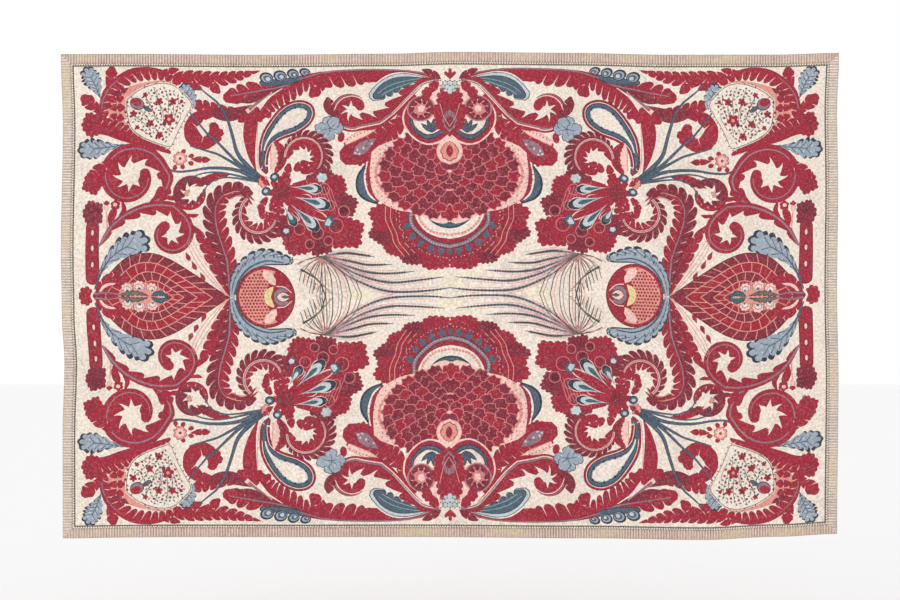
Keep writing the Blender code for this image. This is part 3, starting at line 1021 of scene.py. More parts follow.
# %% Paint the top middle
def top_middle():
    """The long top feather, the dark blue leaf, the second feather and the leaf with the grey heart."""
    leaf([(240, 22), (254, 18.5), (272, 17), (292, 16.5), (313, 16.8)], wide=(0.8, 17.5), lobes=(0, 6),
         swell=0.40, root=0.7, tip=0.6, slant=0.5, depth=0.36)
    leaf([(296, 16.6), (330, 17), (356, 20), (378, 26)], wide=(0.8, 12), swell=0.15, root=1.0, tip=0.05)
    leaf([(262, 22), (258, 32), (250, 41)], wide=(6.5, 6.5), lobes=(2, 2), swell=0.6, tip=0.6, root=0.8)
    stem([(238, 24.5), (262, 18), (290, 16), (330, 16), (356, 19), (378, 25.5)], 2.0, 1.6, "mauve")
    # dark blue leaf
    shape = {"swell": 0.66, "root": 0.0, "tip": 0.66}
    spine = [(374, 26), (350, 25.5), (332, 29.5), (312, 42)]
    leaf(spine, wide=(13.0, 10.5), lobes=(6, 0), dye="ground", slant=0.3, **shape)
    leaf(spine, wide=(11.5, 9.0), lobes=(6, 0), dye="haze", rim="slate", slant=0.3, **shape)
    leaf([(370, 26), (350, 27), (333, 31.5), (314, 43)], wide=(8.5, 8.0), lobes=(6, 0), dye="slate",
         swell=0.66, rim="navy", tip=0.5)
    leaf([(364, 26), (348, 27), (333, 31), (320, 40)], wide=(3.0, 4.0), dye="teal", swell=0.6)
    line([(316, 40), (326, 33), (340, 28), (358, 25.5)], 0.7, 0.5, "pale_blue")
    line([(320, 42), (330, 36), (344, 31), (356, 28)], 0.7, 0.5, "pale_blue")
    # leaf with the grey heart
    leaf([(343, 58), (338, 72), (324, 84), (306, 95), (288, 104)], wide=(14.0, 16.0), lobes=(11, 8),
         swell=0.62, tip=0.75, root=0.3, slant=0.3, depth=0.22)
    tuft((298, 98), 15.5, 14.5, -35, 17, "crimson", 145)
    leaf([(316, 86), (304, 94), (292, 103)], wide=(7.0, 6), dye="mauve", swell=0.5, rim="maroon")
    for x, y in ((308, 89), (303, 96), (297, 98), (306, 94), (299, 102), (311, 92), (295, 101)):
        oval((x, y), 1.6, 1.1, x * 30, "haze" if x % 2 else "slate", 5)
    leaf([(283, 91), (298, 83.5), (318, 75)], wide=(3.6, 3.8), dye="reserve", rim="salmon", root=0.8,
         swell=0.5)
    dots([(287, 87.5), (300, 81.5), (314, 77)], 9, 0.8, "crimson")
    oval((280.5, 85), 3.6, 5.4, 10, "crimson", 9)
    # second feather and its curl
    lead = [(377, 27), (360, 31), (345, 45), (331, 60), (316, 72)]
    mid = np.vstack([flow(lead)[:-1], curl((289.5, 57), 19.5, 60, 0.70, 0.20, 0.9)])
    leaf([(352, 40), (344, 58), (338, 76)], wide=(8.0, 7.0), lobes=(3, 3), root=0.6, tip=0.6, swell=0.6)
    scroll(lead, (289.5, 57), 19.5, 60, 0.79, 14.0, 10, tighten=0.40, ease=0.9, root=0.10, tip=0.5,
           swell=0.42, depth=0.58, slant=1.1)
    line(mid + (0.9, 1.7), 1.5, 1.0, "reserve")
    stem(mid, 3.2, 1.0, "mauve")
    line(mid[2:len(mid) // 2] + (0.2, 0.2), 0.7, 0.5, "reserve")
    leaf([(279, 64), (269, 57), (266, 45)], wide=(5.5, 6), lobes=(0, 3), dye="maroon", swell=0.6, tip=0.4,
         root=0.5)
    # pale blue flower
    for x, y in ((267, 69.5), (260, 76), (268, 82.5), (276.5, 76), (273, 70)):
        ruffle((x, y), 7.0, x * 31, 350, 5, "pale_blue", back=0.9, rim="navy", depth=0.16)
    oval((269, 76), 7.5, 6.5, 0, "pale_blue", 12)
    for x, y in ((265, 69), (260, 77.5), (267, 83), (276.5, 78), (274, 71)):
        line([(269, 76), ((269 + x) / 2 + 1, (76 + y) / 2), (x, y)], 1.0, 0.5, "slate")
        oval((x - 1.4, y + 0.5), 1.2, 0.8, x * 17, "haze", 5)


top_middle()
print("with the top middle:", len(painting), "strokes")


# %% [markdown]
# ## Leaves under the great flower
#
# Ruffled leaves, a grey vein, blue buds and a cream collar with dots close the great flower towards
# the centre of the cloth. They are painted first, because the flower overlaps them.

# %% Paint the base leaves
def base_leaves():
    """Ruffled leaves, grey vein and pale collar that close the great flower below."""
    for x, y, across, down, turn, dye, toward in (
            (372, 206, 18, 13, 12, "crimson", 90), (350, 201, 13, 12, 35, "maroon", 115),
            (334, 192, 14, 11, 40, "crimson", 140), (323, 180, 14, 12, 20, "maroon", 165),
            (328, 163, 19, 15, -10, "crimson", 190), (345, 172, 16, 22, -20, "crimson", 200)):
        tuft((x, y), across, down, turn, 17, dye, toward)
    fall = [(356, 160), (358, 170), (366, 180), (378, 186), (390, 188)]
    band([(334, 154), (333, 170), (339, 186), (353, 199), (390, 210)], fall, "maroon")
    band([(338, 152), (339.5, 170), (347, 184), (361, 197), (390, 205)], fall, "crimson")
    for lift in (0.0, 5.5, 10.5):
        line([(336 - lift, 153), (336 - lift, 167), (342 - lift, 181), (344 - lift, 190),
              (354 - lift, 201 + lift / 3)],
             0.8, 0.7, "salmon")
    for k in range(9):
        place, normal, _ = along(flow([(341, 158), (344, 176), (355, 191), (371, 201), (389, 205)]),
                                 np.array([0.05 + 0.11 * k]))
        tip = place[0] - normal[0] * 8
        leaf([tuple(place[0] + normal[0] * 4), tuple(tip)], wide=(3.0, 3.0), lobes=(2, 2), swell=0.6,
             tip=0.4)
    band([(348, 158), (348, 171), (356, 182.5), (371, 194), (390, 199)],
         [(353, 158), (353, 170), (360, 179), (374, 189), (390, 193)], "navy")
    band([(348.8, 158), (348.8, 171), (356.8, 182), (371.5, 193), (390, 198)],
         [(352.2, 158), (352.2, 170), (359.4, 179.6), (373.6, 190), (390, 194)], "mauve")
    dots([(350.6, 160), (350.4, 171), (358, 181), (372, 191.5), (389, 196)], 22, 0.7, "haze")
    for x, y, turn in ((350, 173, 165), (355, 182, 145), (362, 188.5, 128), (371, 193.5, 112),
                       (380, 196.5, 100), (389, 198, 90)):
        a = math.radians(turn)
        for tilt, reach in ((-0.5, 6.5), (0.5, 6.5), (0.0, 9.5)):
            tip = (x + reach * math.cos(a + tilt), y + reach * math.sin(a + tilt))
            leaf([(x, y), tip], wide=(1.7, 1.7), dye="slate")
    band([(353, 158), (356, 168), (364, 179), (376, 185.5), (390, 188)],
         [(359, 158), (364, 170), (376, 179.5), (390, 181)], "ground")
    for place in along(flow([(357, 160), (361, 171), (372, 180.5), (389, 184)]), np.linspace(0, 1, 14))[0]:
        leaf([tuple(place - (1.4, 1.4)), tuple(place + (1.2, 1.2))], wide=(1.5, 1.5), dye="salmon")
    band([(364, 160), (369, 169), (379, 175.5), (390, 177.5)],
         [(370, 159), (376, 166), (383, 170), (390, 171)], "navy")
    band([(366.5, 161), (371, 168.5), (380, 174), (390, 175.6)],
         [(369.5, 160), (375, 167), (383, 171), (390, 172.4)], "teal")


base_leaves()
print("with the base leaves:", len(painting), "strokes")


# %% [markdown]
# ## Great flower
#
# The round flower is built from rows of ragged scales, outer row first, so each row covers the
# feet of the one outside it, just as petals do. A blue crescent and a pale surround frame it.

# %% Paint the great flower
def petal(x, y, size, out, dye):
    """One scale of the great flower: ragged at its outer end, in a thin pale outline."""
    t = np.linspace(0, 2 * np.pi, 17)[:-1]
    away = np.cos(t)
    reach = size * (1.0 + 0.16 * np.clip(away, 0, 1) * np.cos(8 * t) - 0.10 * (away < 0))
    ring = np.stack([reach * np.cos(t + out) * 1.04, reach * np.sin(t + out) * 0.98], 1)
    spot = np.array([x, y])
    lay(spot + ring, "blush")
    lay(spot + ring * (1 - 0.8 / size), dye)
    foot = spot + heading(out)[0] * size * 0.15
    for side in (-0.55, 0.0, 0.55):
        way, across = heading(out + side)
        tip = spot + way * size * 0.78
        lay([tip + across * 0.55, tip - across * 0.55, foot], "wine" if dye == "maroon" else "maroon")


def peony():
    """Half of the great scaled flower, its crescents and its pale surround."""
    band([(306, 110), (296.5, 124), (296.5, 138), (304, 147), (318, 152)],
         [(306, 110), (303.5, 126), (307, 140), (312, 146), (318, 149)], "navy")
    band([(306, 113), (298.5, 125), (298.5, 137), (305.5, 145.5), (315, 149.5)],
         [(306, 113), (303, 126), (306, 139), (310, 144.5), (315, 148)], "slate")
    band([(310, 102), (305.8, 120), (308, 138), (318, 150)],
         [(312, 102), (310.5, 120), (313, 136), (321, 147)], "crimson")
    lay(flow([(311, 100), (309.5, 120), (312, 137), (319, 148), (336, 157), (352, 160), (389, 168), (389, 84),
              (356, 84), (334, 88), (318, 94)]), "reserve")
    for k in range(96):
        turn = math.radians(112 + 160 * ((k * 7) % 96) / 96.0)
        reach = 0.98 + 0.07 * (k % 4)
        oval((388.5 + 70 * reach * math.cos(turn), 122 + 37 * reach * math.sin(turn)), 0.9, 0.7, k * 40,
             "crimson" if k % 3 else "salmon", 4)
    for k in range(34):
        turn = math.radians(118 + 150 * k / 34)
        oval((388.5 + 73 * math.cos(turn), 121 + 38.5 * math.sin(turn)), 2.2, 1.5, k * 67,
             "blush" if k % 2 else "salmon", 6)
    middle = np.array([388.5, 120.0])
    for ring, (across, down, count, size, shift) in enumerate((
            (62, 40.5, 12.5, 8.8, 0.5), (52, 33, 10.5, 8.6, 0.0), (41, 26, 8.5, 8.2, 0.5),
                                                               (30, 18.5, 6.5, 7.6, 0.0),
            (19.5, 12, 4.5, 7.2, 0.5), (9, 7, 2.5, 6.8, 0.0))):
        for k in range(int(count) + 2):
            turn = math.radians(84 + 192 * (k + shift) / (count + 1))
            x = middle[0] + across * math.cos(turn)
            y = middle[1] + down * math.sin(turn)
            if x > 391:
                continue
            out = math.atan2(math.sin(turn) * down, math.cos(turn) * across)
            petal(x, y, size, out, "maroon" if (k + ring * 2) % 3 else "crimson")
    leaf([(389, 86), (382.5, 100), (389, 114)], wide=(8.0, 8.0), dye="reserve", rim="salmon")
    leaf([(389, 90), (384.0, 101), (389, 111)], wide=(5.5, 5.5), lobes=(4, 4), dye="salmon", rim="crimson")
    leaf([(389, 93), (386.5, 100), (389, 107)], wide=(2.4, 2.4))


peony()
print("with the great flower:", len(painting), "strokes")


# %% [markdown]
# ## Collar and vase
#
# Over the great flower, on the middle line, stand a crimson vase with ruffled edges, a white petal
# edged in blue, a small maroon scroll and a dotted eye.

# %% Paint the vase
def vase():
    """What stands over the great flower on the middle line."""
    lay(flow([(347, 50), (341, 62), (343, 76), (353, 88), (366, 94), (379, 92), (389, 86), (389, 34),
              (366, 36)]),
        "reserve")
    drop = [(346, 52), (342.5, 64), (345, 76), (354, 87), (366, 92.5), (378, 90), (387, 83)]
    band(drop, [(350, 56), (348, 66), (350, 76), (357, 84), (366, 88), (376, 86), (384, 79)], "crimson")
    band([(348.6, 60), (348, 68), (350, 76), (357, 84.5), (366, 88.5), (376, 86.5), (385, 79.5)],
         [(352, 62), (351.6, 69), (354, 75.5), (359.5, 80.5), (366, 83.5), (374, 82), (381, 76.5)], "navy")
    band([(349.6, 62), (349, 69), (351, 76), (358, 83.6), (366, 87.4), (375.5, 85.4), (384, 79)],
         [(351.6, 64), (351, 70), (353, 75.5), (359, 81.5), (366, 84.5), (374, 83), (381.5, 77)], "slate")
    lay(flow([(352.5, 66), (355, 75), (362, 81), (368, 82.5), (376, 80.5), (383, 75), (380, 68), (368, 66)]),
        "ground")
    for tip in ((359, 72), (365, 67.5), (372, 67), (378, 71)):
        leaf([(371, 82), ((371 + tip[0]) / 2, (82 + tip[1]) / 2), tip], wide=(2.2, 2.2), dye="slate",
             rim="navy")
    # small maroon scroll
    oval((359.5, 57), 14.5, 13.5, 0, "blush", 20)
    leaf(curl((359.5, 57), 13.2, 150, 1.0, 0.12), wide=(0.8, 7.6), lobes=(0, 9), dye="maroon", root=0.7,
         tip=0.5, depth=0.5)
    line(curl((359.5, 57), 13.4, 150, 0.95, 0.08), 1.1, 0.7, "mauve")
    ruffle((359.5, 57), 3.8, 200, 330, 5, "reserve", back=1)
    # collar and vase
    for x, y, r, toward, spread, lobes in ((368, 42, 9, 200, 200, 5), (374, 36, 8.5, 215, 190, 5),
                                           (380, 60, 10.5, 180, 170, 6), (389, 47, 15, 170, 300, 11),
                                           (384, 71, 12, 180, 220, 8)):
        ruffle((x, y), r, toward, spread, lobes, "crimson", depth=0.16)
    lay(flow([(378, 44), (375, 56), (377, 70), (383, 80), (389, 84), (389, 40)]), "crimson")
    leaf([(389, 58), (384.5, 68), (389, 84)], wide=(5, 5), lobes=(4, 4), dye="mauve", rim="maroon")
    leaf([(389, 64), (386, 72), (389, 80)], wide=(2.8, 2.8), dye="maroon")
    for k in range(4):
        line([(377 + k * 2.4, 46), (379 + k * 2.2, 60), (385 + k, 76)], 0.6, 0.5, "maroon")
    line([(378, 52), (382, 66), (388, 76)], 0.8, 0.6, "salmon")
    ruffle((389, 32), 11, 100, 220, 7, "haze", rim="olive")
    for k in range(14):
        oval((378.5 + (k % 5) * 2.3, 28.5 + (k // 5) * 4.0 + (k % 2) * 1.2), 0.9, 0.9, 0, "olive", 5)
    ruffle((389, 26), 10.5, -95, 130, 3, "crimson", depth=0.4)
    leaf([(379, 27), (371, 21), (361, 17)], wide=(3.6, 3.8), lobes=(2, 2), dye="maroon", tip=0.4)


vase()
print("with the vase:", len(painting), "strokes")


# %% [markdown]
# ## Paisley
#
# The long drop is one outline drawn inwards again and again: crimson, a free line, indigo, and the
# free cotton inside. Drawing a ring inwards along its own normals keeps every band even.

# %% Paint the paisley
def shrink(ring, inset):
    """A ring drawn in by some brush widths, along its own normals; thin ends close up."""
    after, before = np.roll(ring, -1, axis=0), np.roll(ring, 1, axis=0)
    run = after - before
    size = np.maximum(np.hypot(run[:, 0], run[:, 1]), 1e-9)[:, None]
    normal = np.stack([-run[:, 1], run[:, 0]], 1) / size
    for point in range(len(ring)):
        gaps = np.hypot(*(ring - ring[point]).T)
        step = np.abs(np.arange(len(ring)) - point)
        step = np.minimum(step, len(ring) - step)
        across = gaps[step > len(ring) * 0.12].min()
        normal[point] *= min(1.0, 0.46 * across / inset)
    return ring + normal * inset


def paisley():
    """The long paisley drop over the bouquet, and the seed pod beside its tail."""
    drop = flow([(205, 121), (198, 114), (196.5, 97), (199, 82), (207, 67), (219, 53), (232, 46.5), (244, 47),
                 (252, 53), (253.5, 63), (248, 73), (236, 81), (220, 86.5), (210, 94), (206.5, 106),
                 (207, 118)])
    lay(drop, "wine")
    for dye, inset in (("crimson", 0.7), ("reserve", 2.4), ("navy", 3.2), ("slate", 4.2), ("navy", 7.0),
                       ("haze", 7.9), ("ground", 9.0)):
        lay(shrink(drop, inset), dye)
    for k in range(15):
        place = along(shrink(drop, 7.4), np.array([0.28 + k * 0.034]))[0][0]
        oval(tuple(place), 1.4, 1.4, 0, "navy" if k % 2 else "slate", 7)
    leaf([(201.4, 96), (200.6, 108), (205, 120)], wide=(2.6, 2.4), dye="slate", rim="navy", root=0.8,
         swell=0.2)
    leaf([(213, 122), (220, 105), (213, 86)], wide=(6.4, 6.4), swell=0.5)
    leaf([(211, 120), (213.5, 105), (211, 88)], wide=(4.0, 3.6), lobes=(0, 7), dye="reserve", swell=0.5)
    line([(209.5, 116), (209.5, 105), (209, 95)], 1.2, 0.8, "salmon")
    leaf([(216, 118), (221, 105), (217, 92)], wide=(1.5, 2.4), dye="maroon")


paisley()
print("with the paisley:", len(painting), "strokes")


# %% [markdown]
# ## Bouquet
#
# From the star shaped knot a fan of seed heads opens over red ruffled petals. Each seed head is a
# wedge: a free outline, an indigo cap and a pale glow.

# %% Paint the bouquet
def bouquet():
    """The fan of seed heads and its ruffled red leaves."""
    # lobed scroll above
    leaf(curl((243, 104), 19.5, 200, 0.66, 0.02), wide=(11.5, 1), lobes=(16, 0), dye="maroon", root=0.3,
         tip=0.6, swell=0.6, depth=0.45)
    scroll([], (243, 104.5), 19.0, 170, 0.78, 10.0, 8, tighten=0.22, root=0.5, tip=0.6, depth=0.45, slant=0.8)
    line(curl((243, 104), 19.4, 180, 0.70, 0.04), 2.0, 1.4, "reserve")
    line(curl((243, 104), 19.4, 180, 0.70, 0.04), 0.8, 0.7, "mauve")
    leaf([(233, 118), (240, 112), (247, 110)], wide=(4.5, 4.5), lobes=(2, 2), root=0.5, tip=0.5)
    for x, y, across, down, turn, dye, toward in (
            (263, 124, 12, 9, 10, "maroon", -60), (273, 134, 14, 13, 20, "crimson", -10),
            (282, 152, 16, 12, 0, "maroon", 0), (285, 179, 19, 16.5, 5, "crimson", 20),
            (259, 187, 13, 15, -15, "maroon", 95), (237, 186, 15, 15.5, 10, "crimson", 110),
            (226, 172, 9, 13, 20, "maroon", 150)):
        tuft((x, y), across, down, turn, 17, dye, toward)
    lay(flow([(232, 130), (254, 125), (270, 133), (277, 152), (273, 174), (256, 184), (238, 177),
              (226, 160)]),
        "crimson")
    for x, y, r, dye in ((276, 172, 7.5, "crimson"), (257, 179, 6.5, "maroon"), (239, 175, 6.0, "crimson"),
                         (270, 152, 5.5, "maroon"), (264, 136, 6.0, "crimson"), (284, 158, 6.0, "maroon"),
                         (268, 187, 5.0, "crimson"), (249, 190, 5.0, "maroon")):
        oval((x, y), r, r, 0, "blush", 14)
        oval((x, y), r - 0.7, r - 0.7, 0, dye, 14)
        ruffle((x - 0.4, y - 0.4), r - 1.8, 0, 350, 7, "wine" if dye == "maroon" else "maroon", back=1)
    for k in range(8):
        line([(246 + k * 3.5, 128 + k), (252 + k * 4, 140 + k * 3)], 0.7, 0.5, "blush")
    # star shaped core
    ruffle((221, 138), 16.0, 20, 350, 9, "crimson", depth=0.35, back=0.95)
    ruffle((221, 138), 9.0, 20, 350, 7, "maroon", depth=0.3, back=0.95)
    leaf([(222, 128), (226, 120), (228, 112)], wide=(4.5, 4.5), lobes=(2, 2), tip=0.6, root=0.5)
    leaf([(216, 146), (218, 154), (216, 164)], wide=(5.5, 5.0), lobes=(3, 3), root=0.8, tip=0.5)
    wedge((227, 133), (259, 136), 4.8, "haze", cap="navy", glow="teal")
    wedge((232, 140), (250, 144), 1.8, "crimson")
    wedge((230, 142), (267, 152), 5.8, "haze", cap="navy", glow="teal")
    wedge((231, 147), (265, 165), 3.2, "crimson")
    wedge((228, 148), (256, 174), 5.8, "haze", cap="navy", glow="teal")
    wedge((226, 149), (238, 165), 1.6, "crimson")
    wedge((222, 150), (234, 169), 4.6, "teal", cap="navy", glow="haze")
    ruffle((267, 167), 8, 30, 240, 6, "slate", rim="navy")
    ruffle((267, 168), 4.6, 30, 240, 4, "haze")
    ruffle((262, 124), 6.5, 100, 330, 6, "haze", rim="olive")
    ruffle((225.5, 176), 4.0, 100, 330, 5, "haze", rim="slate")
    ruffle((203, 128), 7.0, 180, 270, 6, "salmon", rim="crimson")
    leaf([(209, 132), (203, 127), (199, 121)], wide=(3.0, 3.0), lobes=(2, 2))
    for x, y in ((213.5, 123.5), (205, 137.5)):
        oval((x, y), 5.0, 4.4, -15, "navy", 12)
        oval((x, y), 3.8, 3.2, -15, "slate")
        oval((x - 0.4, y - 0.3), 2.2, 1.8, -15, "haze", 8)
    leaf([(207, 143), (202, 149), (199, 157)], wide=(4.4, 4.4), lobes=(2, 2), swell=0.6, root=0.5, tip=0.4)


bouquet()
print("with the bouquet:", len(painting), "strokes")


# %% [markdown]
# ## Guard line
#
# A thin dark line with short ticks runs round the field just inside the tape. It is laid in short
# lengths, so that its faces bend with the ripples of the cloth.

# %% Paint the guard line
def guard_line():
    """The thin dark line inside the tape, with its short outward ticks."""
    left, top, wide, pitch = 10.9, 10.9, 1.4, 2.5
    for k in range(152):
        x = left + pitch * k
        lay([(x, top), (x + pitch, top), (x + pitch, top + wide), (x, top + wide)], "olive")
        lay([(x + 0.5, top - 1.1), (x + 1.3, top - 1.1), (x + 1.3, top + 0.8), (x + 0.5, top + 0.8)], "umber")
    for k in range(94):
        y = top + pitch * k
        lay([(left, y), (left + wide, y), (left + wide, y + pitch), (left, y + pitch)], "olive")
        lay([(left - 1.1, y + 0.5), (left + 0.8, y + 0.5), (left + 0.8, y + 1.3), (left - 1.1, y + 1.3)],
            "umber")


guard_line()
print("one quarter:", len(painting), "strokes,", sum(len(outline) for outline, dye in painting), "points")


# %% [markdown]
# ## From brushwork to faces
#
# A picture file could hold the painting, but then its edges would blur up close. Here the cloth's
# own faces follow the brush lines. Blender's constrained triangulation takes all outlines of one
# quarter and returns triangles that never cross a line. Each triangle then takes the dye that was
# laid last over its middle, just as later dye covers earlier dye.
#
# Many lines end up under a later shape. The first pass finds which edges really part two dyes, and
# the second pass keeps only those, so no faces are wasted on hidden strokes.

# %% Triangulating a quarter
# all in brush widths
EDGE_STEP = 8.0
NET_STEP = 13.0
MERGE = 0.01
WELD = 0.002
SNAP = 0.08
FRONT_TOLERANCE = 0.16
DYE_NAMES = list(DYES)


def triangles_between(points, edges):
    """Triangles that keep every edge, cut to the quarter's rectangle."""
    out = delaunay_2d_cdt([tuple(p) for p in points], edges, [], 0, MERGE, False)
    places = np.array([tuple(v) for v in out[0]])
    faces = np.array(out[2])
    middle = places[faces].mean(axis=1)
    inside = (middle > 0.0).all(axis=1) & (middle[:, 0] < AXIS_X) & (middle[:, 1] < AXIS_Y)
    return places, faces[inside]


def dye_at(spots, outlines):
    """The number of the dye laid last over each spot."""
    found = np.zeros(len(spots), int)
    for outline, dye in outlines:
        low, high = outline.min(axis=0), outline.max(axis=0)
        near = np.flatnonzero(((spots >= low) & (spots <= high)).all(axis=1))
        if not len(near):
            continue
        x, y = spots[near, 0][:, None], spots[near, 1][:, None]
        a, b = outline, np.roll(outline, -1, axis=0)
        rise = np.where(b[:, 1] == a[:, 1], 1e-12, b[:, 1] - a[:, 1])
        spans = (a[:, 1] > y) != (b[:, 1] > y)
        hits = spans & (x < a[:, 0] + (y - a[:, 1]) * (b[:, 0] - a[:, 0]) / rise)
        found[near[hits.sum(axis=1) % 2 == 1]] = DYE_NAMES.index(dye)
    return found


def rim_of_quarter():
    """Points round the quarter, evenly stepped, so that mirrored quarters and the back meet them."""
    xs = np.linspace(0.0, AXIS_X, round(AXIS_X / EDGE_STEP) + 1)
    ys = np.linspace(0.0, AXIS_Y, round(AXIS_Y / EDGE_STEP) + 1)
    top = [(x, 0.0) for x in xs[:-1]]
    right = [(AXIS_X, y) for y in ys[:-1]]
    bottom = [(x, AXIS_Y) for x in xs[:0:-1]]
    left = [(0.0, y) for y in ys[:0:-1]]
    return np.array(top + right + bottom + left)


def ring_edges(start, count):
    """Edges that close a ring of points."""
    return [(start + i, start + (i + 1) % count) for i in range(count)]


def straighten(places, edges, tolerance):
    """Drops points that lie on a nearly straight run between their two neighbours."""
    beside = {}
    for a, b in edges:
        beside.setdefault(a, set()).add(b)
        beside.setdefault(b, set()).add(a)
    for p in sorted(beside):
        if len(beside[p]) != 2:
            continue
        a, b = sorted(beside[p])
        if b in beside[a]:
            continue
        run = places[b] - places[a]
        off = places[p] - places[a]
        length = math.hypot(*run)
        if not 1e-9 < length < NET_STEP or abs(run[0] * off[1] - run[1] * off[0]) / length > tolerance:
            continue
        beside[a].remove(p)
        beside[b].remove(p)
        beside[a].add(b)
        beside[b].add(a)
        del beside[p]
    return [(a, b) for a in beside for b in beside[a] if a < b]


def quarter_mesh(outlines, tolerance):
    """The painted quarter as points, triangles and the dye of each triangle."""
    rim = rim_of_quarter()
    points = [rim]
    edges = ring_edges(0, len(rim))
    count = len(rim)
    for outline, _ in outlines:
        edges += ring_edges(count, len(outline))
        points.append(outline)
        count += len(outline)
    places, faces = triangles_between(np.vstack(points), edges)
    dyes = dye_at(places[faces].mean(axis=1), outlines)

    sides = np.sort(np.vstack([faces[:, [0, 1]], faces[:, [1, 2]], faces[:, [2, 0]]]), axis=1)
    owner = np.tile(np.arange(len(faces)), 3)
    order = np.lexsort((sides[:, 1], sides[:, 0]))
    sides, owner = sides[order], owner[order]
    same = (sides[1:] == sides[:-1]).all(axis=1)
    first = np.flatnonzero(same)
    parts = first[dyes[owner[first]] != dyes[owner[first + 1]]]
    seen = straighten(places, [tuple(pair) for pair in sides[parts]], tolerance)

    used = sorted({p for pair in seen for p in pair})
    slot = {p: i + len(rim) for i, p in enumerate(used)}
    net_x = np.arange(NET_STEP / 2, AXIS_X, NET_STEP)
    net_y = np.arange(NET_STEP / 2, AXIS_Y, NET_STEP)
    net = np.array([(x, y) for x in net_x for y in net_y])
    kept = np.vstack([rim, places[used], net])
    for axis, middle_line in ((0, AXIS_X), (1, AXIS_Y)):
        kept[np.abs(kept[:, axis] - middle_line) < SNAP, axis] = middle_line
    edges = ring_edges(0, len(rim)) + [(slot[a], slot[b]) for a, b in seen]
    places, faces = triangles_between(kept, edges)
    return places, faces, dye_at(places[faces].mean(axis=1), outlines)


front_quarter = quarter_mesh(painting, FRONT_TOLERANCE)
print("front quarter:", len(painting), "strokes,", len(front_quarter[1]), "triangles")


# %% [markdown]
# ## The whole sheet
#
# The pattern is the same in all four quarters, mirrored over the middle lines, as on the real cloth.
# A painter who works through a pounced stencil still drifts a little, so one smooth drift is added
# over the whole cloth. The back is a plainer copy of the same strokes, because madder red dyes the
# cloth through and the finer lines stay on the face.

# %% Mirroring and mapping
# the smallest box of a stroke that shows on the back, in brush widths squared
BACK_STROKE = 130.0
BACK_TOLERANCE = 1.2


def weld_key(points):
    """Whole numbers that are equal for points in one place."""
    return (points / WELD).round().astype(int)


def all_quarters(quarter):
    """Four mirrored copies of a quarter, welded along the middle lines."""
    places, faces, dyes = quarter
    points, triangles, colours = [], [], []
    count = 0
    for flip_x in (False, True):
        for flip_y in (False, True):
            turned = places.copy()
            if flip_x:
                turned[:, 0] = WIDE - turned[:, 0]
            if flip_y:
                turned[:, 1] = HIGH - turned[:, 1]
            points.append(turned)
            triangles.append((faces[:, ::-1] if flip_x == flip_y else faces) + count)
            colours.append(dyes)
            count += len(places)
    points, triangles = np.vstack(points), np.vstack(triangles)
    _, first, merged = np.unique(weld_key(points), axis=0, return_index=True, return_inverse=True)
    welded = merged.reshape(-1)[triangles]
    whole = (welded != np.roll(welded, 1, axis=1)).all(axis=1)
    return points[first], welded[whole], np.concatenate(colours)[whole]


def open_rim(triangles):
    """The one ring of points round a sheet, in order."""
    following = {}
    for a, b, c in triangles.tolist():
        for pair in ((a, b), (b, c), (c, a)):
            if pair[::-1] in following:
                del following[pair[::-1]]
            else:
                following[pair] = True
    step = {a: b for a, b in following}
    ring = [next(iter(step))]
    while step[ring[-1]] != ring[0]:
        ring.append(step[ring[-1]])
    return ring


def drift(points):
    """The small wander of the painter's hand, none at the edges of the cloth."""
    x, y = points[:, 0] / WIDE, points[:, 1] / HIGH
    inward = np.clip(8.0 * np.minimum(np.minimum(x, 1.0 - x), np.minimum(y, 1.0 - y)) - 0.2, 0.0, 1.0)
    low = np.sin(np.pi * np.clip(2.0 * y - 1.0, 0.0, 1.0)) * np.exp(-((x - 0.5) / 0.17) ** 2)
    move_x = 1.3 * np.sin(5.1 * x + 9.0 * y + 0.6) + 0.9 * np.sin(17.0 * x - 6.0 * y)
    move_y = 1.2 * np.sin(8.0 * x - 4.0 * y + 1.9) + 0.8 * np.sin(6.0 * x + 15.0 * y) - 6.0 * low
    return points + np.stack([move_x, move_y], 1) * inward[:, None]


def on_cloth(points, forward):
    """Pattern points laid on the hanging cloth."""
    across, down = (drift(points) / (WIDE, HIGH)).T
    return cloth_points(across, down, TAPE_OVERHANG, forward)


back_strokes = [(outline[::2], dye) for outline, dye in painting
                if np.prod(np.ptp(outline, axis=0)) > BACK_STROKE]
back_quarter = quarter_mesh(back_strokes, BACK_TOLERANCE)
front_points, front_faces, front_dyes = all_quarters(front_quarter)
back_points, back_faces, back_dyes = all_quarters(back_quarter)
print("front", len(front_faces), "back", len(back_faces), "triangles")


# %% [markdown]
# ## One closed sheet
#
# Front and back meet in a thin rim, so the cloth is a closed solid as in the CAD model. Its own UV
# map keeps the front above the back and the rim in a strip between, so that no two faces share a
# place on it.

# %% Close the sheet
FRONT_SHARE = 0.625
BACK_SHARE = 0.36
RIM_STRIP = (0.3735, 0.3615)


def sheet_map(mesh):
    """A map with the front in its upper part, the back below and the rim between."""
    front_spots = front_points / (WIDE, HIGH) * (1.0, -FRONT_SHARE) + (0.0, 1.0)
    back_spots = back_points / (WIDE, HIGH) * (1.0, -BACK_SHARE) + (0.0, BACK_SHARE)
    rim_start = np.arange(len(front_rim)) / len(front_rim)
    rim_end = rim_start + 1.0 / len(front_rim)
    high, low = (np.full(len(front_rim), level) for level in RIM_STRIP)
    first = np.stack([rim_start, high, rim_start, low, rim_end, low], 1)
    second = np.stack([rim_start, high, rim_end, low, rim_end, high], 1)
    rim_spots = np.hstack([first, second]).reshape(-1, 2)
    spots = np.vstack([front_spots[front_faces.ravel()], back_spots[back_faces[:, ::-1].ravel()], rim_spots])
    mesh.uv_layers.new(name="OFBake").data.foreach_set("uv", spots.ravel())


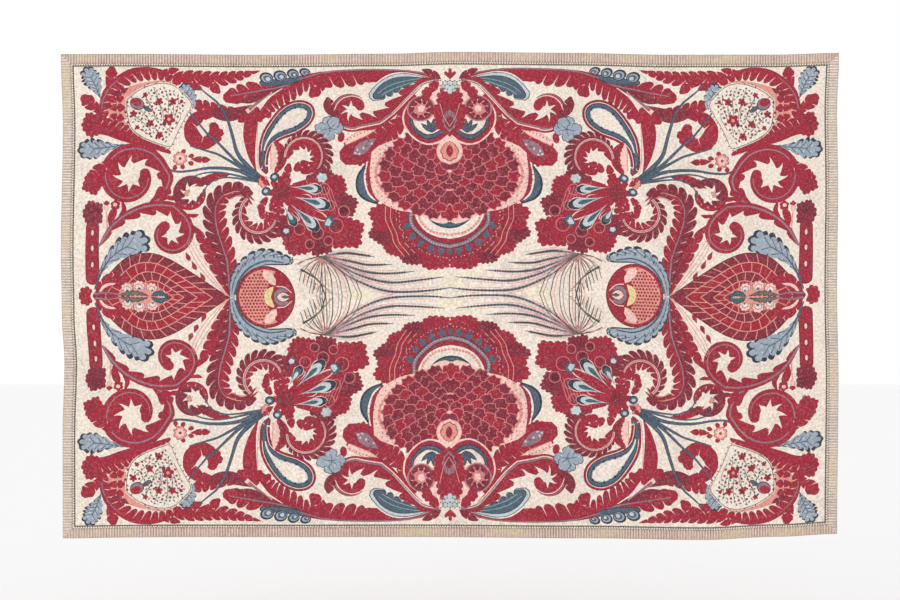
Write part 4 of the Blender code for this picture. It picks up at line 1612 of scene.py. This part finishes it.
places = np.vstack([on_cloth(front_points, CLOTH_THICK / 2), on_cloth(back_points, -CLOTH_THICK / 2)])
first_back = len(front_points)
front_rim = open_rim(front_faces)
spot = {tuple(key): i for i, key in enumerate(weld_key(back_points).tolist())}
back_rim = [spot[tuple(key)] + first_back for key in weld_key(front_points[front_rim]).tolist()]
rim_faces = []
for i in range(len(front_rim)):
    j = (i + 1) % len(front_rim)
    rim_faces.append((front_rim[i], back_rim[i], back_rim[j]))
    rim_faces.append((front_rim[i], back_rim[j], front_rim[j]))
rim_faces = np.array(rim_faces)
sheet_faces = np.vstack([front_faces, back_faces[:, ::-1] + first_back, rim_faces])

panel_mesh = bpy.data.meshes.new("painted_sheet")
panel_mesh.from_pydata(places.tolist(), [], sheet_faces.tolist())
panel_mesh.update()
sheet_map(panel_mesh)
panel = bpy.data.objects.new("painted_sheet", panel_mesh)
bpy.context.scene.collection.objects.link(panel)
shape = bmesh.new()
shape.from_mesh(panel_mesh)
loose = [edge for edge in shape.edges if not edge.is_manifold]
volume = shape.calc_volume(signed=True)
shape.free()
print("sheet:", len(sheet_faces), "triangles,", len(loose), "open edges, volume", round(volume * 1e6), "cm3")


# %% [markdown]
# ## Dye colours on the sheet
#
# Each triangle carries its dye in a colour attribute, one colour for each face corner. The back
# shows the same dyes much paler, mixed towards the cloth's own cream.

# %% Colour attribute
BACK_FADE = 0.52
PAPER_SHADE = 0.96
SMOOTH_UP_TO = math.radians(40.0)
table = np.array([DYES[name] for name in DYE_NAMES], float) / 255.0
paper = table[DYE_NAMES.index("ground")] * PAPER_SHADE
back_colours = table + (paper - table) * BACK_FADE
face_colours = np.vstack([table[front_dyes], back_colours[back_dyes], np.tile(paper, (len(rim_faces), 1))])
corner_colours = np.repeat(np.hstack([face_colours, np.ones((len(face_colours), 1))]), 3, axis=0)
dye_layer = panel_mesh.color_attributes.new(name="dye", type="BYTE_COLOR", domain="CORNER")
dye_layer.data.foreach_set("color_srgb", corner_colours.ravel())
panel_mesh.shade_smooth()
panel_mesh.set_sharp_from_angle(angle=SMOOTH_UP_TO)
used_dyes, amounts = np.unique(front_dyes, return_counts=True)
print("faces of each dye:", {DYE_NAMES[d]: int(n) for d, n in zip(used_dyes, amounts)})


# %% [markdown]
# ## Node helpers
#
# Two effects are shared by the cloth and the tape, so each is a node group. One helper adds a node
# and wires it up in a single line, the other starts a group with its sockets.

# %% Node helpers
# the colour sockets of a mix node, by number
COLOUR_A, COLOUR_B, COLOUR_OUT = 6, 7, 2


def add(tree, kind, inputs=(), **settings):
    """Adds a node, sets its properties, and links or sets its inputs by number."""
    node = tree.nodes.new(kind)
    for name, value in settings.items():
        setattr(node, name, value)
    for number, value in dict(inputs).items():
        if isinstance(value, bpy.types.NodeSocket):
            tree.links.new(value, node.inputs[number])
        else:
            node.inputs[number].default_value = value
    return node


def blend(tree, share, first, second, **settings):
    """Mixes two colours, each a socket or a fixed colour."""
    inputs = {0: share, COLOUR_A: first, COLOUR_B: second}
    return add(tree, "ShaderNodeMix", inputs, data_type="RGBA", **settings).outputs[COLOUR_OUT]


def spread(tree, value, low, high, to_low, to_high):
    """Maps a value from one range to another, held at both ends."""
    return add(tree, "ShaderNodeMapRange", {0: value, 1: low, 2: high, 3: to_low, 4: to_high}).outputs[0]


def new_group(name, takes, gives):
    """A shader node group with named inputs and outputs."""
    group = bpy.data.node_groups.new(name, "ShaderNodeTree")
    for label, kind, value in takes:
        socket = group.interface.new_socket(label, in_out="INPUT", socket_type=kind)
        if value is not None:
            socket.default_value = value
    for label, kind in gives:
        group.interface.new_socket(label, in_out="OUTPUT", socket_type=kind)
    return group, group.nodes.new("NodeGroupInput"), group.nodes.new("NodeGroupOutput")


print("node helpers ready")


# %% [markdown]
# ## Plain weave
#
# The weave group raises the threads of a plain weave: two sine waves cross along the two thread
# directions, and a soft noise pushes them about a little, because hand spun threads vary.

# %% Plain weave
WOBBLE_SCALE = 60.0
WOBBLE_REACH = 0.002


def weave_group():
    """Height of a plain weave, 0 to 1, from object coordinates in metres."""
    group, source, result = new_group(
        "plain_weave", [("Place", "NodeSocketVector", None), ("Thread", "NodeSocketFloat", 0.0006)],
        [("Height", "NodeSocketFloat")])
    wobble = add(group, "ShaderNodeTexNoise", {0: source.outputs["Place"], 2: WOBBLE_SCALE, 3: 2.0})
    centred = add(group, "ShaderNodeVectorMath", {0: wobble.outputs["Color"], 1: (0.5, 0.5, 0.5)},
                  operation="SUBTRACT")
    pushed = add(group, "ShaderNodeVectorMath", {0: centred.outputs[0], 1: (WOBBLE_REACH,) * 3},
                 operation="MULTIPLY")
    place = add(group, "ShaderNodeVectorMath", {0: source.outputs["Place"], 1: pushed.outputs[0]},
                operation="ADD")
    parts = add(group, "ShaderNodeSeparateXYZ", {0: place.outputs[0]})
    turn = add(group, "ShaderNodeMath", {0: math.pi, 1: source.outputs["Thread"]}, operation="DIVIDE")
    waves = []
    for axis in ("X", "Z"):
        angle = add(group, "ShaderNodeMath", {0: parts.outputs[axis], 1: turn.outputs[0]},
                    operation="MULTIPLY")
        waves.append(add(group, "ShaderNodeMath", {0: angle.outputs[0]}, operation="SINE"))
    product = add(group, "ShaderNodeMath", {0: waves[0].outputs[0], 1: waves[1].outputs[0]},
                  operation="MULTIPLY")
    height = add(group, "ShaderNodeMath", {0: product.outputs[0], 1: 0.5, 2: 0.5}, operation="MULTIPLY_ADD")
    group.links.new(height.outputs[0], result.inputs["Height"])
    return group


plain_weave = weave_group()
print("weave group:", len(plain_weave.nodes), "nodes")


# %% [markdown]
# ## Uneven dye
#
# The dye group returns a value near one that lightens and darkens a colour: a fine grain where
# threads take the dye unevenly, and broad clouds from rinsing and age. It also hands out the clouds
# and finer specks as masks of their own.

# %% Uneven dye
# scale, detail and roughness of each noise
GRAIN_NOISE = (190.0, 3.0, 0.65)
CLOUD_NOISE = (9.0, 3.0, 0.6)
SPECK_NOISE = (260.0, 3.0, 0.7)


def dye_group():
    """A factor near 1 that varies over the cloth, with its clouds and specks."""
    group, source, result = new_group(
        "uneven_dye",
        [("Place", "NodeSocketVector", None), ("Grain", "NodeSocketFloat", 0.10),
         ("Cloud", "NodeSocketFloat", 0.05)],
        [("Factor", "NodeSocketFloat"), ("Clouds", "NodeSocketFloat"), ("Specks", "NodeSocketFloat")])
    noises = []
    for scale, detail, rough in (GRAIN_NOISE, CLOUD_NOISE, SPECK_NOISE):
        inputs = {0: source.outputs["Place"], 2: scale, 3: detail, 4: rough}
        noises.append(add(group, "ShaderNodeTexNoise", inputs).outputs[0])
    grain, clouds, specks = noises
    factor = 1.0
    for noise, amount in ((grain, "Grain"), (clouds, "Cloud")):
        off = add(group, "ShaderNodeMath", {0: noise, 1: 0.5}, operation="SUBTRACT").outputs[0]
        factor = add(group, "ShaderNodeMath", {0: off, 1: source.outputs[amount], 2: factor},
                     operation="MULTIPLY_ADD").outputs[0]
    for label, value in (("Factor", factor), ("Clouds", clouds), ("Specks", specks)):
        group.links.new(value, result.inputs[label])
    return group


uneven_dye = dye_group()
print("dye group:", len(uneven_dye.nodes), "nodes")


# %% [markdown]
# ## Painted cotton
#
# The dye attribute gives the colour, the dye group breaks it up, and a faint warm tint gathers in
# the broad clouds, as old cotton yellows in patches. Cotton is matt, so roughness stays high and
# only the thread tops are a little smoother.

# %% Painted cotton material
WAX_MISSED = (0.80, 0.66, 0.56, 1.0)
AGE_TINT = (0.90, 0.80, 0.62, 1.0)


def cotton_base(name, thread, grain, cloud):
    """A cotton material, with its tree, shader, object coordinates and dye group."""
    material = bpy.data.materials.new(name)
    material.use_nodes = True
    tree = material.node_tree
    shader = tree.nodes["Principled BSDF"]
    shader.inputs["Sheen Weight"].default_value = 0.05
    shader.inputs["Sheen Roughness"].default_value = 0.6
    place = add(tree, "ShaderNodeTexCoord").outputs["Object"]
    weave = add(tree, "ShaderNodeGroup", node_tree=plain_weave)
    dye = add(tree, "ShaderNodeGroup", node_tree=uneven_dye)
    for group in (weave, dye):
        tree.links.new(place, group.inputs["Place"])
    weave.inputs["Thread"].default_value = thread
    dye.inputs["Grain"].default_value = grain
    dye.inputs["Cloud"].default_value = cloud
    bump = add(tree, "ShaderNodeBump", {0: 0.25, 1: 0.0002})
    tree.links.new(weave.outputs["Height"], bump.inputs["Height"])
    tree.links.new(bump.outputs["Normal"], shader.inputs["Normal"])
    rough = spread(tree, weave.outputs["Height"], 0.0, 1.0, 0.96, 0.86)
    tree.links.new(rough, shader.inputs["Roughness"])
    return material, tree, shader, place, dye


def shade(tree, colour, dye):
    """A colour made lighter and darker by the dye group's factor."""
    shaded = add(tree, "ShaderNodeVectorMath", {0: colour}, operation="SCALE")
    tree.links.new(dye.outputs["Factor"], shaded.inputs["Scale"])
    return shaded.outputs[0]


def painted_cotton():
    """Cotton dyed as the colour attribute says."""
    material, tree, shader, _, dye = cotton_base("painted_cotton", thread=0.0005, grain=1.25, cloud=0.40)
    laid = add(tree, "ShaderNodeAttribute", attribute_name="dye", attribute_type="GEOMETRY")
    missed = spread(tree, dye.outputs["Specks"], 0.52, 0.78, 0.0, 0.28)
    worn = blend(tree, missed, laid.outputs["Color"], WAX_MISSED)
    age = spread(tree, dye.outputs["Clouds"], 0.55, 0.80, 0.0, 0.25)
    aged = blend(tree, age, shade(tree, worn, dye), AGE_TINT, blend_type="MULTIPLY")
    tree.links.new(aged, shader.inputs["Base Color"])
    return material


panel.data.materials.append(painted_cotton())
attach(panel, "root")
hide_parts("painted_panel")
print("painted sheet dressed")


# %% [markdown]
# ## Ribbed tape
#
# The edge tape is woven with thick cross threads, so it shows ribs at right angles to its edges. It
# is modelled as a strip whose surface rises and falls with each rib, mitred at both corners, and
# stitched down near its inner edge, where its colour also holds painted shade.

# %% Tape strips
RIB_PITCH = 0.0062
RIB_RISE = 0.00025
RIB_CELLS = 4
ACROSS_TAPE = np.array([0.0, 0.04, 0.2, 0.5, 0.8, 0.96, 1.0])
ROUNDING = np.array([0.35, 0.8, 1.0, 1.0, 1.0, 0.8, 0.35])
SHARP_FROM = math.radians(60.0)
# front, wall and back shares of the tape's map
FRONT_FROM, WALL_TOP, WALL_FOOT, BACK_UP_TO = 0.52, 0.515, 0.485, 0.48


def is_level(side):
    """Whether a tape runs along the top or the bottom edge."""
    return side in ("top", "bottom")


def tape_strip(side):
    """One mitred strip of ribbed tape as a closed mesh."""
    level = is_level(side)
    length = CLOTH_WIDTH if level else CLOTH_HEIGHT
    inner_across = TAPE_WIDTH / CLOTH_WIDTH
    inner_down = TAPE_WIDTH / CLOTH_HEIGHT
    mitre = (inner_across if level else inner_down) * ACROSS_TAPE
    ribs = round(length / RIB_PITCH)
    run = np.linspace(0.0, 1.0, ribs * RIB_CELLS + 1)[:, None]
    share = mitre + run * (1.0 - 2.0 * mitre)
    depth = np.broadcast_to(ACROSS_TAPE, share.shape)
    if side == "top":
        across, down = share, depth * inner_down
    elif side == "bottom":
        across, down = share, 1.0 - depth * inner_down
    elif side == "left":
        across, down = depth * inner_across, share
    else:
        across, down = 1.0 - depth * inner_across, share
    rib = RIB_RISE * (0.5 - 0.5 * np.cos(2.0 * np.pi * ribs * run)) * ROUNDING
    low = CLOTH_THICK / 2 + SEAM_GAP
    front = cloth_points(across, down, 0.0, low + TAPE_THICK * ROUNDING - RIB_RISE + rib)
    back = cloth_points(across, down, 0.0, low)
    gap = SEAM_GAP / math.sqrt(2.0)
    for points in (front, back):
        axis = 0 if level else 2
        sign = 1.0 if level else -1.0
        points[0, :, axis] += sign * gap
        points[-1, :, axis] -= sign * gap
    return front, back


def tape_piece(side, material):
    """The strip as an object that stands for its solid node."""
    front, back = tape_strip(side)
    rows, columns = front.shape[:2]
    number = np.arange(rows * columns).reshape(rows, columns)
    a, b, c, d = number[:-1, :-1], number[1:, :-1], number[1:, 1:], number[:-1, 1:]
    front_quads = np.stack([a, b, c, d], -1).reshape(-1, 4)
    back_quads = front_quads[:, ::-1] + rows * columns
    ring = np.concatenate([number[:, 0], number[-1, 1:], number[-2::-1, -1], number[0, -2:0:-1]])
    after = np.roll(ring, -1)
    wall = np.stack([after, ring, ring + rows * columns, after + rows * columns], -1)
    quads = np.vstack([front_quads, back_quads, wall])
    mesh = bpy.data.meshes.new("ribbed_tape_" + side)
    mesh.from_pydata(np.vstack([front.reshape(-1, 3), back.reshape(-1, 3)]).tolist(), [], quads.tolist())
    mesh.materials.append(material)
    over = np.tile(ACROSS_TAPE, rows)
    mesh.attributes.new("inward", "FLOAT", "POINT").data.foreach_set("value", np.tile(over, 2))
    run = np.repeat(np.linspace(0.0, 1.0, rows), columns)
    face_spots = np.vstack([np.stack([run, FRONT_FROM + (1.0 - FRONT_FROM) * over], 1),
                            np.stack([run, BACK_UP_TO * over], 1)])
    turn = np.arange(len(ring)) / len(ring)
    step = 1.0 / len(ring)
    high, foot = np.full(len(ring), WALL_TOP), np.full(len(ring), WALL_FOOT)
    wall_spots = np.stack([turn + step, high, turn, high, turn, foot, turn + step, foot], 1).reshape(-1, 2)
    spots = np.vstack([face_spots[np.vstack([front_quads, back_quads]).ravel()], wall_spots])
    mesh.uv_layers.new(name="OFBake").data.foreach_set("uv", spots.ravel())
    shape = bmesh.new()
    shape.from_mesh(mesh)
    bmesh.ops.recalc_face_normals(shape, faces=shape.faces[:])
    shape.to_mesh(mesh)
    shape.free()
    mesh.shade_smooth()
    mesh.set_sharp_from_angle(angle=SHARP_FROM)
    piece = bpy.data.objects.new("ribbed_tape_" + side, mesh)
    bpy.context.scene.collection.objects.link(piece)
    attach(piece, "root")
    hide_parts("edge_tape_" + side)
    return piece


print("tape strips:", RIB_CELLS, "cells to a rib of", RIB_PITCH * 1000, "mm")


# %% [markdown]
# ## Ribbed cotton
#
# The tape's colour has four layers: ribs that take the dye a little differently, with painted shade
# between them and painted light on their tops, broad stains, the dark stitches with painted shade at
# its inner edge, and a painted shadow along its outer edge.

# %% Ribbed cotton
# painted shade between the ribs and painted light on their tops, for the level tapes and the upright ones
TAPE_SHADE_AND_LIGHT = {
    True: ((0.44, 0.30, 0.25, 1.0), (0.80, 0.61, 0.53, 1.0)),
    False: ((0.50, 0.39, 0.33, 1.0), (0.86, 0.74, 0.65, 1.0)),
}
STAIN = (0.56, 0.47, 0.30, 1.0)
THREAD_AND_SHADE_DARK = (0.085, 0.085, 0.070, 1.0)
RIB_NOISE_SCALE = 260.0
RIB_NOISE_SHARE = 1.4


def maths(tree, operation, *values, **settings):
    """One step of arithmetic in a shader."""
    return add(tree, "ShaderNodeMath", dict(enumerate(values)), operation=operation, **settings).outputs[0]


def ribbed_tape(level):
    """Beige pink ribbed cotton, its ribs at right angles to the edge."""
    name = "ribbed_tape_" + ("level" if level else "upright")
    material, tree, shader, place, dye = cotton_base(name, thread=0.0007, grain=1.0, cloud=0.70)
    run = add(tree, "ShaderNodeSeparateXYZ", {0: place}).outputs["X" if level else "Z"]
    wave = maths(tree, "COSINE", maths(tree, "MULTIPLY", run, 2.0 * math.pi / RIB_PITCH))
    stripe = spread(tree, wave, -1.0, 1.0, 0.0, 1.0)
    # each rib takes the dye a little differently
    uneven = add(tree, "ShaderNodeTexNoise", {2: 1.0, 3: 3.0, 4: 0.7}, noise_dimensions="1D")
    tree.links.new(maths(tree, "MULTIPLY", run, RIB_NOISE_SCALE), uneven.inputs["W"])
    shift = maths(tree, "SUBTRACT", uneven.outputs[0], 0.5)
    ribs = maths(tree, "MULTIPLY_ADD", shift, RIB_NOISE_SHARE, stripe)
    # painted shade between the ribs and painted light on their tops, over the uneven dye of each rib
    colour = blend(tree, ribs, *TAPE_SHADE_AND_LIGHT[level])
    stained = blend(tree, spread(tree, dye.outputs["Clouds"], 0.48, 0.68, 0.0, 0.75), colour, STAIN)
    # stitches with painted shade at the inner edge, and a painted shadow along the outer edge
    across = add(tree, "ShaderNodeAttribute", attribute_name="inward", attribute_type="GEOMETRY")
    inward = across.outputs["Fac"]
    seam_and_shade = spread(tree, inward, 0.80, 1.0, 0.0, 0.8)
    gaps = maths(tree, "SUBTRACT", 1.15, stripe, use_clamp=True)
    # a painted shadow that darkens the outer edge of the tape
    painted_edge_shadow = spread(tree, inward, 0.0, 0.10, 0.45, 0.0)
    edges = maths(tree, "MAXIMUM", maths(tree, "MULTIPLY", seam_and_shade, gaps), painted_edge_shadow)
    # darkens the tape with the stitches, their painted shade and the painted edge shadow
    sewn_and_shaded = blend(tree, edges, stained, THREAD_AND_SHADE_DARK)
    tree.links.new(shade(tree, sewn_and_shaded, dye), shader.inputs["Base Color"])
    return material


tapes = []
for material, sides in ((ribbed_tape(True), ("top", "bottom")), (ribbed_tape(False), ("left", "right"))):
    for side in sides:
        tapes.append(tape_piece(side, material))
print("tapes:", [(piece.name, len(piece.data.polygons)) for piece in tapes])
